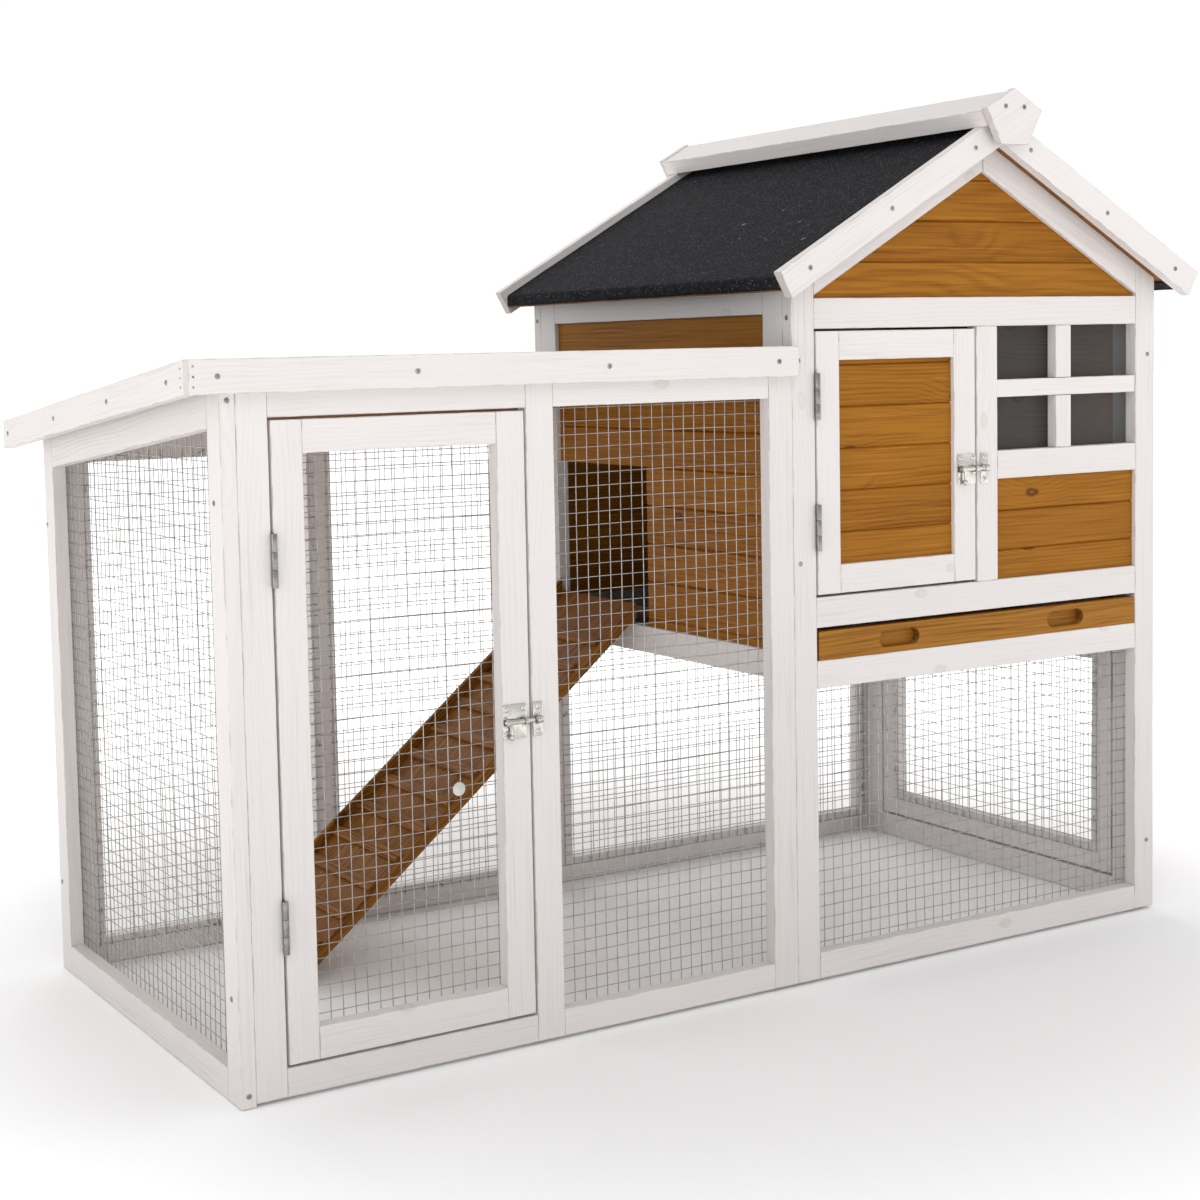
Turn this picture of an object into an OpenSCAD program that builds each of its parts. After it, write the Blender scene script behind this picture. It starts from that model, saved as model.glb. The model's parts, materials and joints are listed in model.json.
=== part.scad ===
// Wooden rabbit hutch with a raised gabled house and a meshed lean-to run.
// Millimetres. X runs along the front from the run to the house, Y to the back, Z up.
// The origin is under the middle of the whole hutch, on the ground.

/* [Overall] */
// Length of the run along the front, end panel included
run_l = 622; // [560:1:760]
// Width of the house along the front
house_w = 523; // [480:1:640]
// Depth of the house and of the run
depth = 507; // [460:1:620]
// Height of the run under its roof, at the front
run_h = 648.7; // [600:0.1:680]
// Height of the house under its roof, at the side walls
house_h = 733; // [715:1:800]

/* [Timber] */
// Width of the frame battens
batten_w = 30; // [24:1:36]
// Thickness of the frame battens
batten_t = 15; // [12:0.5:20]
// Width of the side wall posts
post_w = 33; // [28:1:44]
// Thickness of the tongue and groove boards
board_t = 9; // [7:0.5:10]
// Width that each tongue and groove board covers
board_cover = 43.5; // [36:0.5:60]
// Depth of the boards behind the face of their frame
recess = 5; // [3:0.5:6]
// Height of the front panels' feet above the ground
lift = 3; // [0:0.5:8]
// Top of the bottom rails above the ground
sill_top = 29; // [24:1:40]

/* [Run] */
// Fall of the run roof towards the back
run_fall = 6.5; // [3:0.5:9]
// Width of the run door
run_door_w = 257; // [220:1:290]
// Height of the run's front top rail
run_head_h = 37; // [30:1:48]
// Height of the rail under the roof, at the back and on the end panel
run_top_rail_h = 35; // [28:1:42]
// Overhang of the run roof past the end panel
run_side_overhang = 31; // [20:1:50]
// Overhang of the run roof behind the back frame
run_back_overhang = 41; // [20:1:60]
// Height of the fascia and of the barge board on the run roof
fascia_h = 30.5; // [24:0.5:40]

/* [Roofs] */
// Thickness of the roof boards, the fascia and the barge boards
roof_t = 12; // [9:0.5:15]
// Thickness of the roofing felt
felt_t = 2; // [1.5:0.5:3]
// Pitch of the house roof
pitch = 29.5; // [24:0.5:36]
// Overhang of the house roof boards at the eaves
eave = 25; // [15:1:40]
// Distance of the gable barge boards' outer faces from the gables
barge_out = 31; // [24:1:45]
// Width of the gable barge boards
barge_w = 30; // [26:1:40]
// Distance of the ridge heads' outer faces from the gables
head_out = 48; // [44:1:60]
// Half width of the ridge cap
cap_half = 40; // [34:1:50]
// Thickness of the ridge cap boards
cap_t = 18; // [14:0.5:22]

/* [House front] */
// Width of the house door
house_door_w = 217; // [190:1:240]
// Bottom of the sleeping floor's tray slot
tray_z = 338.3; // [320:0.1:360]
// Height of the tray slot
tray_slot_h = 34.5; // [30:0.5:44]
// Height of the rail over the tray
mid_rail_h = 31.5; // [26:0.5:40]
// Underside of the tie rail over the door and the window
tie_z = 681; // [660:1:700]
// Height of the tie rail
tie_h = 31.4; // [26:0.2:40]
// Bottom of the window opening
window_z = 545.4; // [520:0.2:580]
// Width of the window's upright bar
muntin_v_w = 23; // [14:1:30]
// Width of the window's level bar
muntin_h_w = 19; // [14:1:30]

/* [Side walls] */
// Bottom of the side walls' boarded part
wall_floor_z = 348; // [335:1:360]
// Bottom of the side walls' top rail
wall_top_rail_z = 697; // [680:1:705]
// Distance of the doorway from the house's back face
doorway_back = 48; // [40:1:70]
// Width of the doorway at the top of the ramp
doorway_w = 185; // [160:1:220]
// Height of the top of the doorway
doorway_top = 530.5; // [480:0.5:580]

/* [Doors and hardware] */
// Gap around each door
door_gap = 2.5; // [2.2:0.1:4]
// Height of a hinge
hinge_h = 48; // [36:1:60]
// Outer radius of a hinge knuckle
knuckle_r = 3; // [2.4:0.1:3.6]
// Radius of a hinge pin
pin_r = 1; // [0.8:0.1:1.2]
// Running clearance in hinges, bolts and the tray slot
play = 0.2; // [0.15:0.05:0.3]
// Radius of a bolt rod
rod_r = 2.5; // [2:0.1:3]
// Travel of a bolt rod
bolt_travel = 10; // [6:0.5:10.5]

/* [Tray] */
// Height of the tray's front board
tray_front_h = 30; // [24:0.5:32]
// Height of the tray's rim behind the front board
tray_rim_h = 24; // [16:1:26]
// Length of a finger slot in the tray front
tray_grip_l = 55.4; // [40:0.2:70]
// Height of a finger slot in the tray front
tray_grip_h = 18.2; // [14:0.2:20]
// Distance between the two finger slots
tray_grip_gap = 242.4; // [180:0.2:280]

/* [Ramp] */
// Width of the ramp
ramp_w = 168; // [120:1:175]
// Thickness of the ramp board
ramp_t = 13; // [10:0.5:16]
// Height of the ramp's underside at the house wall
ramp_top_z = 356.6; // [352:0.2:362]
// Slope of the ramp
ramp_slope = 39.2; // [34:0.2:44]
// Spacing of the ramp cleats
cleat_pitch = 42; // [30:1:60]

/* [Wire mesh] */
// Spacing of the wires that are modelled
wire_pitch = 50.8; // [38.1:12.7:76.2]
// Width and thickness of a wire
wire_t = 1.2; // [1:0.1:1.6]
// Lap of the mesh behind its frame
mesh_lap = 9; // [5:1:12]

/* [Hidden] */
$fn = 48;
slit = 0.4;          // gap that keeps the pieces of one node apart
far = 2000;          // longer than any cut needs

// Main planes
house_x0 = run_l;
house_x1 = run_l + house_w;
house_xc = run_l + house_w / 2;
run_x0 = batten_t;
back_y = depth - batten_t;
wall_x = house_x1 - batten_t;
fall = tan(run_fall);
rise = tan(pitch);
plumb = 1 / cos(pitch);               // level thickness turned to upright thickness
function run_under(y) = run_h - fall * y;
function house_under(x) = house_h + rise * (house_w / 2 - abs(x - house_xc));
apex_z = house_under(house_xc);

// Roof sizes
run_roof_y1 = depth + run_back_overhang;
run_roof_x0 = roof_t - run_side_overhang;
roof_y0 = roof_t - barge_out;
roof_y1 = depth + barge_out - roof_t;
eave_half = house_w / 2 + eave;
felt_top = (roof_t + felt_t) * plumb;
barge_top = felt_top + 9.5;
barge_half = eave_half + 12;
cap_rest = apex_z + barge_top;
head_t = 9;
head_half = cap_half - 1;
head_low = cap_rest - 36;
head_low_half = 19;

// Screws and brads
screw_r = 2.6;
screw_h = 0.8;

// Placing on the ground under the middle of the hutch, screw heads included
x_low = -run_side_overhang;
x_high = house_xc + barge_half;
mid = [(x_low - screw_h + x_high) / 2, (depth - screw_h) / 2, 0];

// Door outlines
run_door_x0 = run_x0 + batten_w + door_gap;
run_door_x1 = run_door_x0 + run_door_w;
run_door_z0 = sill_top + door_gap;
run_head_z = run_under(0) - run_head_h;
run_door_z1 = run_head_z - door_gap;
run_mid_x = run_door_x1 + door_gap;
house_door_x0 = house_x0 + batten_w - 1 + door_gap;
house_door_x1 = house_door_x0 + house_door_w;
house_door_z0 = tray_z + tray_slot_h + mid_rail_h + door_gap;
house_door_z1 = tie_z - door_gap;
house_mid_x = house_door_x1 + door_gap;
window_x0 = house_mid_x + batten_w;
window_x1 = house_x1 - batten_w;
tray_rail_z = tray_z - batten_w + 1;
side_door_y0 = batten_t + post_w + door_gap;
side_door_y1 = back_y - post_w - door_gap;
side_door_z0 = sill_top + door_gap;
side_rail_z = wall_floor_z - batten_w;
side_door_z1 = side_rail_z - door_gap;
doorway_y1 = depth - doorway_back;
doorway_y0 = doorway_y1 - doorway_w;
wall_first_joint = (doorway_top - wall_floor_z) % board_cover;
pane_lap = 6;
pane_t = 2;

// Hinges: the pin stands in front of the timber and the leaves lie in the door gap
pin_out = knuckle_r + 0.2;
leaf_t = door_gap / 2 - 0.35;
pin_x = door_gap / 2;
run_hinges_z = [134, 462];
house_hinges_z = [453, 588];
side_hinges_z = [side_door_z0 + 30, side_door_z1 - 30 - hinge_h];

// Bolts: sizes about the middle of the plate
plate_w = 26;
plate_h = 33;
plate_t = 1.2;
rod_out = plate_t + rod_r + 1.3;
guide_w = 4;
keeper_x = 20;
keeper_w = 11;
rod_tip = keeper_x - 0.5;
knob_x = -5.5;
run_bolt = [run_mid_x + 0.4 - keeper_x, 316.5];
house_bolt = [house_mid_x + 4 - keeper_x, 528];

// Tray
tray_x0 = house_x0 + batten_w - 1 + 2.5;
tray_x1 = house_x1 - batten_w - 2;
tray_front_z = tray_z + play;
tray_y1 = back_y - 7;
tray_wall = 2;
tray_face_t = batten_t - 5;
tray_pan_x0 = house_x0 + batten_t + 18;
tray_pan_x1 = wall_x - 18;
runner_w = 30;
tray_mid = (tray_x0 + tray_x1) / 2;

// Ramp: its underside runs from the ground to the wall
ramp_x1 = house_x0 - 0.5;
ramp_run = ramp_top_z / tan(ramp_slope);
ramp_x0 = ramp_x1 - ramp_run;
ramp_y1 = doorway_y1 - 1;
ramp_y0 = ramp_y1 - ramp_w;
ramp_len = ramp_run / cos(ramp_slope);
cleat_w = 12;
cleat_h = 4.5;
ramp_edge_w = 6;
ramp_edge_h = 11;
cleat_n = floor((ramp_len - 60) / cleat_pitch);
hook_w = 16;
hook_t = 2;

// Side door's turn button, on the back post
button_y = side_door_y1 + door_gap + post_w / 2;
button_z = (side_door_z0 + side_door_z1) / 2;
button_arm = 32;
button_shaft_r = 1.5;

// ---- shapes that repeat ----

module place() translate(-mid) children();

module bar(from, to) translate(from) cube(to - from);

// A flat outline in Y and Z, drawn out along X
module along_x(x0, x1) translate([x0, 0, 0]) rotate([90, 0, 90]) linear_extrude(x1 - x0) children();

// A flat outline in X and Z, drawn out along Y
module along_y(y0, y1) translate([0, y1, 0]) rotate([90, 0, 0]) linear_extrude(y1 - y0) children();

module below_run_roof() {
    along_x(-far, far)
        polygon([[-100, -10], [depth + 200, -10], [depth + 200, run_under(depth + 200)], [-100, run_under(-100)]]);
}

module below_house_roof(drop = 0) {
    along_y(-100, depth + 100)
        polygon([
            [house_x0 - 100, -10], [house_x1 + 100, -10],
            [house_x1 + 100, house_h - 100 * rise - drop],
            [house_xc, apex_z - drop],
            [house_x0 - 100, house_h - 100 * rise - drop]
        ]);
}

// One tongue and groove board's section: X is the depth behind the face, Y is up
module board_section() {
    bevel = 1.6;
    tongue = 3.5;
    t0 = board_t / 3;
    t1 = board_t * 2 / 3;
    top = board_cover - 0.3;
    polygon([
        [0, bevel], [bevel, 0], [t0 - 0.2, 0], [t0 - 0.2, tongue], [t1 + 0.2, tongue], [t1 + 0.2, 0],
        [board_t, 0], [board_t, top], [t1, top], [t1, top + tongue], [t0, top + tongue], [t0, top],
        [bevel, top], [0, top - bevel]
    ]);
}

// Level boards that face -Y: first is the height of the lowest joint, or 0 for a whole lowest board
module boards(length, height, first) {
    count = ceil((height - first) / board_cover) + 1;
    intersection() {
        for (i = [first > 0 ? 0 : 1 : count - 1])
            translate([0, 0, first + (i - 1) * board_cover]) along_x(0, length) board_section();
        cube([length, board_t, height]);
    }
}

// Welded wire, a flat grid that faces -Y
module mesh(w, h) {
    nx = floor((w - 2 * wire_t) / wire_pitch);
    nz = floor((h - 2 * wire_t) / wire_pitch);
    px = (w - wire_t) / (nx + 1);
    pz = (h - wire_t) / (nz + 1);
    translate([0, wire_t, 0]) rotate([90, 0, 0]) linear_extrude(wire_t) difference() {
        square([w, h]);
        for (i = [0 : nx], k = [0 : nz])
            translate([wire_t + i * px, wire_t + k * pz]) square([px - wire_t, pz - wire_t]);
    }
}

module mesh_xz(x0, x1, z0, z1, y) translate([x0, y, z0]) mesh(x1 - x0, z1 - z0);

module mesh_yz(y0, y1, z0, z1, x) translate([x, y1, z0]) rotate([0, 0, -90]) mesh(y1 - y0, z1 - z0);

module hinge_pair(heights) for (z = heights) translate([pin_x - door_gap, -pin_out, z]) children();

// Leaf with its tabs; side is -1 for the fixed leaf and 1 for the door's
module hinge_leaf(side, tabs) {
    x0 = side < 0 ? -door_gap / 2 : door_gap / 2 - leaf_t;
    translate([x0, knuckle_r + 0.1, 0]) cube([leaf_t, batten_t - 1, hinge_h]);
    for (t = tabs) translate([x0, pin_r + 0.5, t[0]])
        cube([leaf_t, knuckle_r - pin_r, t[1] - t[0]]);
}

// The pin runs through the knuckles and is headed over in the fixed ones
module fixed_leaf() {
    low = [0, hinge_h / 3];
    high = [hinge_h * 2 / 3, hinge_h];
    hinge_leaf(-1, [low, high]);
    for (t = [low, high]) translate([0, 0, t[0]]) cylinder(r = knuckle_r, h = t[1] - t[0]);
    cylinder(r = pin_r, h = hinge_h);
}

module door_leaf() {
    z0 = hinge_h / 3 + 0.3;
    z1 = hinge_h * 2 / 3 - 0.3;
    difference() {
        union() {
            hinge_leaf(1, [[z0, z1]]);
            translate([0, 0, z0]) cylinder(r = knuckle_r, h = z1 - z0);
        }
        translate([0, 0, -1]) cylinder(r = pin_r + play, h = hinge_h + 2);
    }
}

module run_hinges() translate([run_door_x0, 0, 0]) hinge_pair(run_hinges_z) children();
module house_hinges() translate([house_door_x0, 0, 0]) hinge_pair(house_hinges_z) children();

// The side door's frame: local X runs along the wall from the back, the face looks to +X
module on_right_wall() translate([house_x1, 0, 0]) rotate([0, 0, 90]) children();

module side_hinges() on_right_wall() translate([side_door_y0, 0, 0]) hinge_pair(side_hinges_z) children();

// A saddle over the rod
module saddle(x, w) {
    difference() {
        translate([x, -rod_out - rod_r - 1.2, -rod_r - 2]) cube([w, rod_out + rod_r + 1.2, 2 * rod_r + 4]);
        translate([x - 1, -rod_out, 0]) rotate([0, 90, 0]) cylinder(r = rod_r + play, h = w + 2);
    }
}

module bolt_plate() {
    translate([-plate_w / 2, -plate_t, -plate_h / 2]) cube([plate_w, plate_t, plate_h]);
    saddle(-plate_w / 2 + 1, guide_w);
    saddle(plate_w / 2 - 1 - guide_w, guide_w);
    for (x = [-9, 9]) translate([x, -plate_t, plate_h / 2 - 4.5]) pan_head();
    translate([-9.2, -plate_t, 5 - plate_h / 2]) pan_head();
}

module bolt_rod() {
    translate([-plate_w / 2 + 0.5, -rod_out, 0]) rotate([0, 90, 0]) cylinder(r = rod_r, h = rod_tip + plate_w / 2 - 0.5);
    translate([knob_x, -rod_out, 0]) rotate([180, 0, 0]) cylinder(r = 1.5, h = 13);
    translate([knob_x, -rod_out, -14.5]) sphere(r = 3);
}

module bolt_keeper() {
    translate([keeper_x, -plate_t, -plate_h / 2]) cube([keeper_w, plate_t, plate_h]);
    saddle(keeper_x + 1.5, 6);
    for (z = [-12, 12]) translate([keeper_x + keeper_w / 2, -plate_t, z]) pan_head();
}

module at_bolt(spot) translate([spot[0], 0, spot[1]]) children();

module pan_head() rotate([90, 0, 0]) cylinder(r = screw_r, h = screw_h);

module screws_front(y, spots) for (s = spots) translate([s[0], y, s[1]]) pan_head();

module screws_left(x, spots) for (s = spots) translate([x, s[0], s[1]]) rotate([0, 0, -90]) pan_head();

// ---- run ----

module run_end_stiles() color("whitesmoke") place() intersection() {
    for (y = [0, depth - batten_w]) bar([0, y, 0], [batten_t, y + batten_w, run_h]);
    below_run_roof();
}

module run_end_rails() color("whitesmoke") place() {
    bar([0, batten_w, 0], [batten_t, depth - batten_w, batten_w]);
    along_x(0, batten_t) polygon([
        [batten_w, run_under(batten_w)], [depth - batten_w, run_under(depth - batten_w)],
        [depth - batten_w, run_under(depth - batten_w) - run_top_rail_h - 7],
        [batten_w, run_under(batten_w) - run_top_rail_h - 7]
    ]);
}

module run_end_mesh() color("silver") place() intersection() {
    mesh_yz(batten_t + 2, back_y - 2, batten_w - mesh_lap, run_h - run_top_rail_h, batten_t);
    translate([0, 0, -run_top_rail_h + mesh_lap]) below_run_roof();
}

module run_front_stiles() color("whitesmoke") place() intersection() {
    for (x = [run_x0, run_mid_x, run_l - batten_w])
        bar([x, 0, lift], [x + batten_w, batten_t, run_h]);
    below_run_roof();
}

module run_front_rails() color("whitesmoke") place() intersection() {
    for (s = [[run_x0 + batten_w, run_mid_x], [run_mid_x + batten_w, run_l - batten_w]]) {
        bar([s[0], 0, lift], [s[1], batten_t, sill_top]);
        bar([s[0], 0, run_head_z], [s[1], batten_t, run_h]);
    }
    below_run_roof();
}

module run_front_mesh() color("silver") place()
    mesh_xz(run_mid_x + batten_w - mesh_lap, run_l - batten_w + mesh_lap,
        sill_top - mesh_lap, run_head_z + mesh_lap, batten_t);

module run_back_stiles() color("whitesmoke") place() intersection() {
    for (x = [run_x0, run_mid_x - 4, run_l - batten_w])
        bar([x, back_y, 0], [x + batten_w, depth, run_h]);
    below_run_roof();
}

module run_back_rails() color("whitesmoke") place() intersection() {
    for (s = [[run_x0 + batten_w, run_mid_x - 4], [run_mid_x - 4 + batten_w, run_l - batten_w]]) {
        bar([s[0], back_y, 0], [s[1], depth, sill_top]);
        bar([s[0], back_y, run_under(depth) - run_top_rail_h], [s[1], depth, run_h]);
    }
    below_run_roof();
}

module run_back_mesh() color("silver") place()
    for (s = [[run_x0 + batten_w, run_mid_x - 4], [run_mid_x - 4 + batten_w, run_l - batten_w]])
        mesh_xz(s[0] - mesh_lap, s[1] + mesh_lap, sill_top - mesh_lap,
            run_under(depth) - run_top_rail_h + mesh_lap, back_y - wire_t);

// Level boards from the barge board to the house, laid up the slope
module run_roof_boards() color("saddlebrown") place() {
    n = 6;
    span = run_roof_y1 / n;
    thick = roof_t / cos(run_fall);
    for (i = [0 : n - 1]) {
        y0 = i * span;
        y1 = (i + 1) * span - (i < n - 1 ? slit : 0);
        along_x(run_roof_x0, run_l) polygon([
            [y0, run_under(y0)], [y1, run_under(y1)], [y1, run_under(y1) + thick], [y0, run_under(y0) + thick]
        ]);
    }
}

module run_roof_felt() color("dimgray") place() {
    low = roof_t / cos(run_fall);
    high = (roof_t + felt_t) / cos(run_fall);
    along_x(run_roof_x0, run_l) polygon([
        [0, run_under(0) + low], [run_roof_y1, run_under(run_roof_y1) + low],
        [run_roof_y1, run_under(run_roof_y1) + high], [0, run_under(0) + high]
    ]);
}

module run_fascia() color("whitesmoke") place()
    bar([x_low, -roof_t, run_h - fascia_h / 2], [run_l, 0, run_h + fascia_h / 2]);

module run_barge_board() color("whitesmoke") place()
    along_x(x_low, x_low + roof_t) polygon([
        [0, run_under(0) - fascia_h / 2], [run_roof_y1, run_under(run_roof_y1) - fascia_h / 2],
        [run_roof_y1, run_under(run_roof_y1) + fascia_h / 2], [0, run_under(0) + fascia_h / 2]
    ]);

// ---- ramp ----

module ramp_board() color("peru") place() {
    along_y(ramp_y0, ramp_y1) polygon([
        [ramp_x0, 0], [ramp_x1, ramp_top_z],
        [ramp_x1, ramp_top_z + ramp_t / cos(ramp_slope)],
        [ramp_x0 - ramp_t * sin(ramp_slope), ramp_t * cos(ramp_slope)]
    ]);
}

// Cleats across the ramp, and the raised strip along its back edge
module ramp_cleats() color("peru") place() {
    for (i = [0 : cleat_n - 1])
        translate([ramp_x0, 0, 0]) rotate([0, -ramp_slope, 0])
            translate([40 + i * cleat_pitch, ramp_y0 + 2, ramp_t])
                cube([cleat_w, ramp_w - ramp_edge_w - slit - 2, cleat_h]);
    top_t = ramp_t + ramp_edge_h;
    along_y(ramp_y1 - ramp_edge_w, ramp_y1) polygon([
        [ramp_x0 - ramp_t * sin(ramp_slope), ramp_t * cos(ramp_slope)],
        [ramp_x1, ramp_top_z + ramp_t / cos(ramp_slope)],
        [ramp_x1, ramp_top_z + top_t / cos(ramp_slope)],
        [ramp_x0 - top_t * sin(ramp_slope), top_t * cos(ramp_slope)]
    ]);
}

// Bent strips that hang the ramp on the doorway's sill
module ramp_hooks() color("silver") place()
    for (y = [ramp_y0 + 20, ramp_y1 - 20 - hook_w]) along_y(y, y + hook_w) polygon([
        [ramp_x1 - 40 * cos(ramp_slope), ramp_top_z - 40 * sin(ramp_slope)],
        [ramp_x1, ramp_top_z], [house_x0 + 12, ramp_top_z],
        [house_x0 + 12, wall_floor_z], [house_x0 + 10, wall_floor_z],
        [house_x0 + 10, ramp_top_z - hook_t], [ramp_x1 + 0.2, ramp_top_z - hook_t],
        [ramp_x1 - 40 * cos(ramp_slope) + hook_t * sin(ramp_slope),
            ramp_top_z - 40 * sin(ramp_slope) - hook_t * cos(ramp_slope)]
    ]);

// ---- house ----

module house_front_stiles() color("whitesmoke") place() intersection() {
    union() {
        bar([house_x0, 0, lift], [house_x0 + batten_w - 1, batten_t, far]);
        bar([house_x1 - batten_w, 0, lift], [house_x1, batten_t, far]);
        bar([house_mid_x, 0, house_door_z0 - door_gap], [house_mid_x + batten_w, batten_t, tie_z]);
    }
    below_house_roof();
}

// The tie rail between the posts, then the two raking rails under the roof, cut off above the tie rail
module gable_rails(x0, x1) {
    bar([x0, 0, tie_z], [x1, batten_t, tie_z + tie_h]);
    for (side = [-1, 1]) {
        out_x = side < 0 ? x0 : x1;
        in_x = house_xc + side * slit / 2;
        intersection() {
            along_y(0, batten_t) polygon([
                [out_x, house_under(out_x)], [in_x, house_under(in_x)],
                [in_x, house_under(in_x) - batten_w * plumb],
                [out_x, house_under(out_x) - batten_w * plumb]
            ]);
            bar([x0, 0, tie_z + tie_h + slit], [x1, batten_t, far]);
        }
    }
}

module house_front_rails() color("whitesmoke") place() {
    x0 = house_x0 + batten_w - 1;
    x1 = house_x1 - batten_w;
    gable_rails(x0, x1);
    bar([x0, 0, lift], [x1, batten_t, sill_top + 2]);
    bar([x0, 0, tray_rail_z], [x1, batten_t, tray_z]);
    bar([x0, 0, tray_z + tray_slot_h], [x1, batten_t, tray_z + tray_slot_h + mid_rail_h]);
    bar([window_x0, 0, window_z - 30.6], [window_x1, batten_t, window_z]);
}

// The gable's boards: clear of the tie rail, under the raking rails
module gable_boards() {
    x0 = house_x0 + batten_w;
    intersection() {
        translate([x0, recess, tie_z + tie_h]) boards(house_w - 2 * batten_w, apex_z - tie_z, 37.6);
        below_house_roof(batten_w * plumb);
    }
}

module house_front_boards() color("peru") place() {
    gable_boards();
    translate([window_x0, recess, house_door_z0 - door_gap])
        boards(window_x1 - window_x0, window_z - 30.6 - house_door_z0 + door_gap, 31.5);
}

module house_mesh() color("silver") place() {
    mesh_xz(house_x0 + batten_t + 4, house_x1 - batten_w + mesh_lap,
        sill_top - mesh_lap, tray_rail_z + mesh_lap, batten_t);
    mesh_xz(house_x0 + batten_t + 4, wall_x - 4, sill_top - mesh_lap,
        wall_floor_z - batten_w + mesh_lap, back_y - wire_t);
}

// The upright bar is in two lengths, above and below the level one
module window_bars() color("whitesmoke") place() {
    xc = (window_x0 + window_x1) / 2 - 6;
    zc = (window_z + tie_z) / 2;
    y0 = 1;
    y1 = batten_t - 1;
    bar([window_x0, y0, zc - muntin_h_w / 2], [window_x1, y1, zc + muntin_h_w / 2]);
    bar([xc - muntin_v_w / 2, y0, window_z], [xc + muntin_v_w / 2, y1, zc - muntin_h_w / 2 - slit]);
    bar([xc - muntin_v_w / 2, y0, zc + muntin_h_w / 2 + slit], [xc + muntin_v_w / 2, y1, tie_z]);
}

// A pane on the back of the frame, lapping it all round
module window_pane() color("darkgray", 0.5) place()
    bar([window_x0 - pane_lap, batten_t, window_z - pane_lap],
        [window_x1 + pane_lap, batten_t + pane_t, tie_z + pane_lap]);

module left_wall_stiles() color("whitesmoke") place() intersection() {
    for (y = [batten_t, back_y - post_w])
        bar([house_x0, y, wall_floor_z - batten_w], [house_x0 + batten_t, y + post_w, far]);
    below_house_roof();
}

module left_wall_rails() color("whitesmoke") place() intersection() {
    union() {
        bar([house_x0, batten_t + post_w, wall_floor_z - batten_w],
            [house_x0 + batten_t, back_y - post_w, wall_floor_z]);
        bar([house_x0, batten_t + post_w, wall_top_rail_z], [house_x0 + batten_t, back_y - post_w, far]);
    }
    below_house_roof();
}

// Short boards beside the doorway, then whole ones over it
module left_wall_boards() color("peru") place() {
    translate([house_x0 + recess, doorway_y0, wall_floor_z]) rotate([0, 0, -90])
        boards(doorway_y0 - batten_t - post_w, doorway_top - wall_floor_z, wall_first_joint);
    translate([house_x0 + recess, back_y - post_w, doorway_top]) rotate([0, 0, -90])
        boards(back_y - 2 * post_w - batten_t, wall_top_rail_z - doorway_top, 0);
}

module right_wall_stiles() color("whitesmoke") place() difference() {
    intersection() {
        for (y = [batten_t, back_y - post_w]) bar([wall_x, y, 0], [house_x1, y + post_w, far]);
        below_house_roof();
    }
    at_button() translate([0, batten_t + 1, 0]) rotate([90, 0, 0])
        cylinder(r = button_shaft_r + play, h = batten_t + 2);
}

module right_wall_rails() color("whitesmoke") place() intersection() {
    union() {
        for (z = [[0, sill_top], [side_rail_z, wall_floor_z], [wall_top_rail_z, far]])
            bar([wall_x, batten_t + post_w, z[0]], [house_x1, back_y - post_w, z[1]]);
    }
    below_house_roof();
}

module right_wall_boards() color("peru") place()
    translate([house_x1 - recess, batten_t + post_w, wall_floor_z]) rotate([0, 0, 90])
        boards(back_y - 2 * post_w - batten_t, wall_top_rail_z - wall_floor_z, wall_first_joint);

module back_wall_stiles() color("whitesmoke") place() intersection() {
    for (x = [house_x0, house_x1 - batten_w]) bar([x, back_y, 0], [x + batten_w, depth, far]);
    below_house_roof();
}

module back_wall_rails() color("whitesmoke") place() {
    x0 = house_x0 + batten_w;
    x1 = house_x1 - batten_w;
    translate([0, back_y, 0]) gable_rails(x0, x1);
    bar([x0, back_y, 0], [x1, depth, sill_top]);
    bar([x0, back_y, wall_floor_z - batten_w], [x1, depth, wall_floor_z]);
}

module back_wall_boards() color("peru") place() translate([0, depth, 0]) mirror([0, 1, 0]) {
    gable_boards();
    translate([house_x0 + batten_w, recess, wall_floor_z])
        boards(house_w - 2 * batten_w, tie_z - wall_floor_z, wall_first_joint);
}

// Ledges that carry the tray along both side walls
module tray_runners() color("peru") place()
    for (x = [house_x0 + batten_t, wall_x - runner_w])
        bar([x, batten_t + 2, tray_z - 20], [x + runner_w, back_y - 2, tray_z]);

// ---- house roof ----

// One slope's outline between two heights above the underside, from the ridge to the eave
module slope_section(low, high, near, half) {
    for (side = [-1, 1]) polygon([
        [house_xc + side * near, house_under(house_xc + side * near) + low],
        [house_xc + side * half, house_under(house_xc + side * half) + low],
        [house_xc + side * half, house_under(house_xc + side * half) + high],
        [house_xc + side * near, house_under(house_xc + side * near) + high]
    ]);
}

// Boards that run from gable to gable, six on each slope
module house_roof_boards() color("saddlebrown") place() {
    n = 6;
    span = eave_half / n;
    for (i = [0 : n - 1])
        along_y(roof_y0, roof_y1)
            slope_section(0, roof_t * plumb, i * span + slit / 2, (i + 1) * span - (i < n - 1 ? slit / 2 : 0));
}

// One sheet over both slopes, turned down at the eaves
module house_roof_felt() color("dimgray") place() {
    low = roof_t * plumb;
    fold = eave_half + felt_t;
    along_y(roof_y0, roof_y1) polygon([
        for (side = [-1, 1]) for (p = side < 0
            ? [[-eave_half, 2], [-fold, 2], [-fold, felt_top], [0, felt_top]]
            : [[fold, felt_top], [fold, 2], [eave_half, 2], [eave_half, low], [0, low], [-eave_half, low]])
            [house_xc + p[0], house_under(house_xc + p[0]) + p[1]]
    ]);
}

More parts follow.
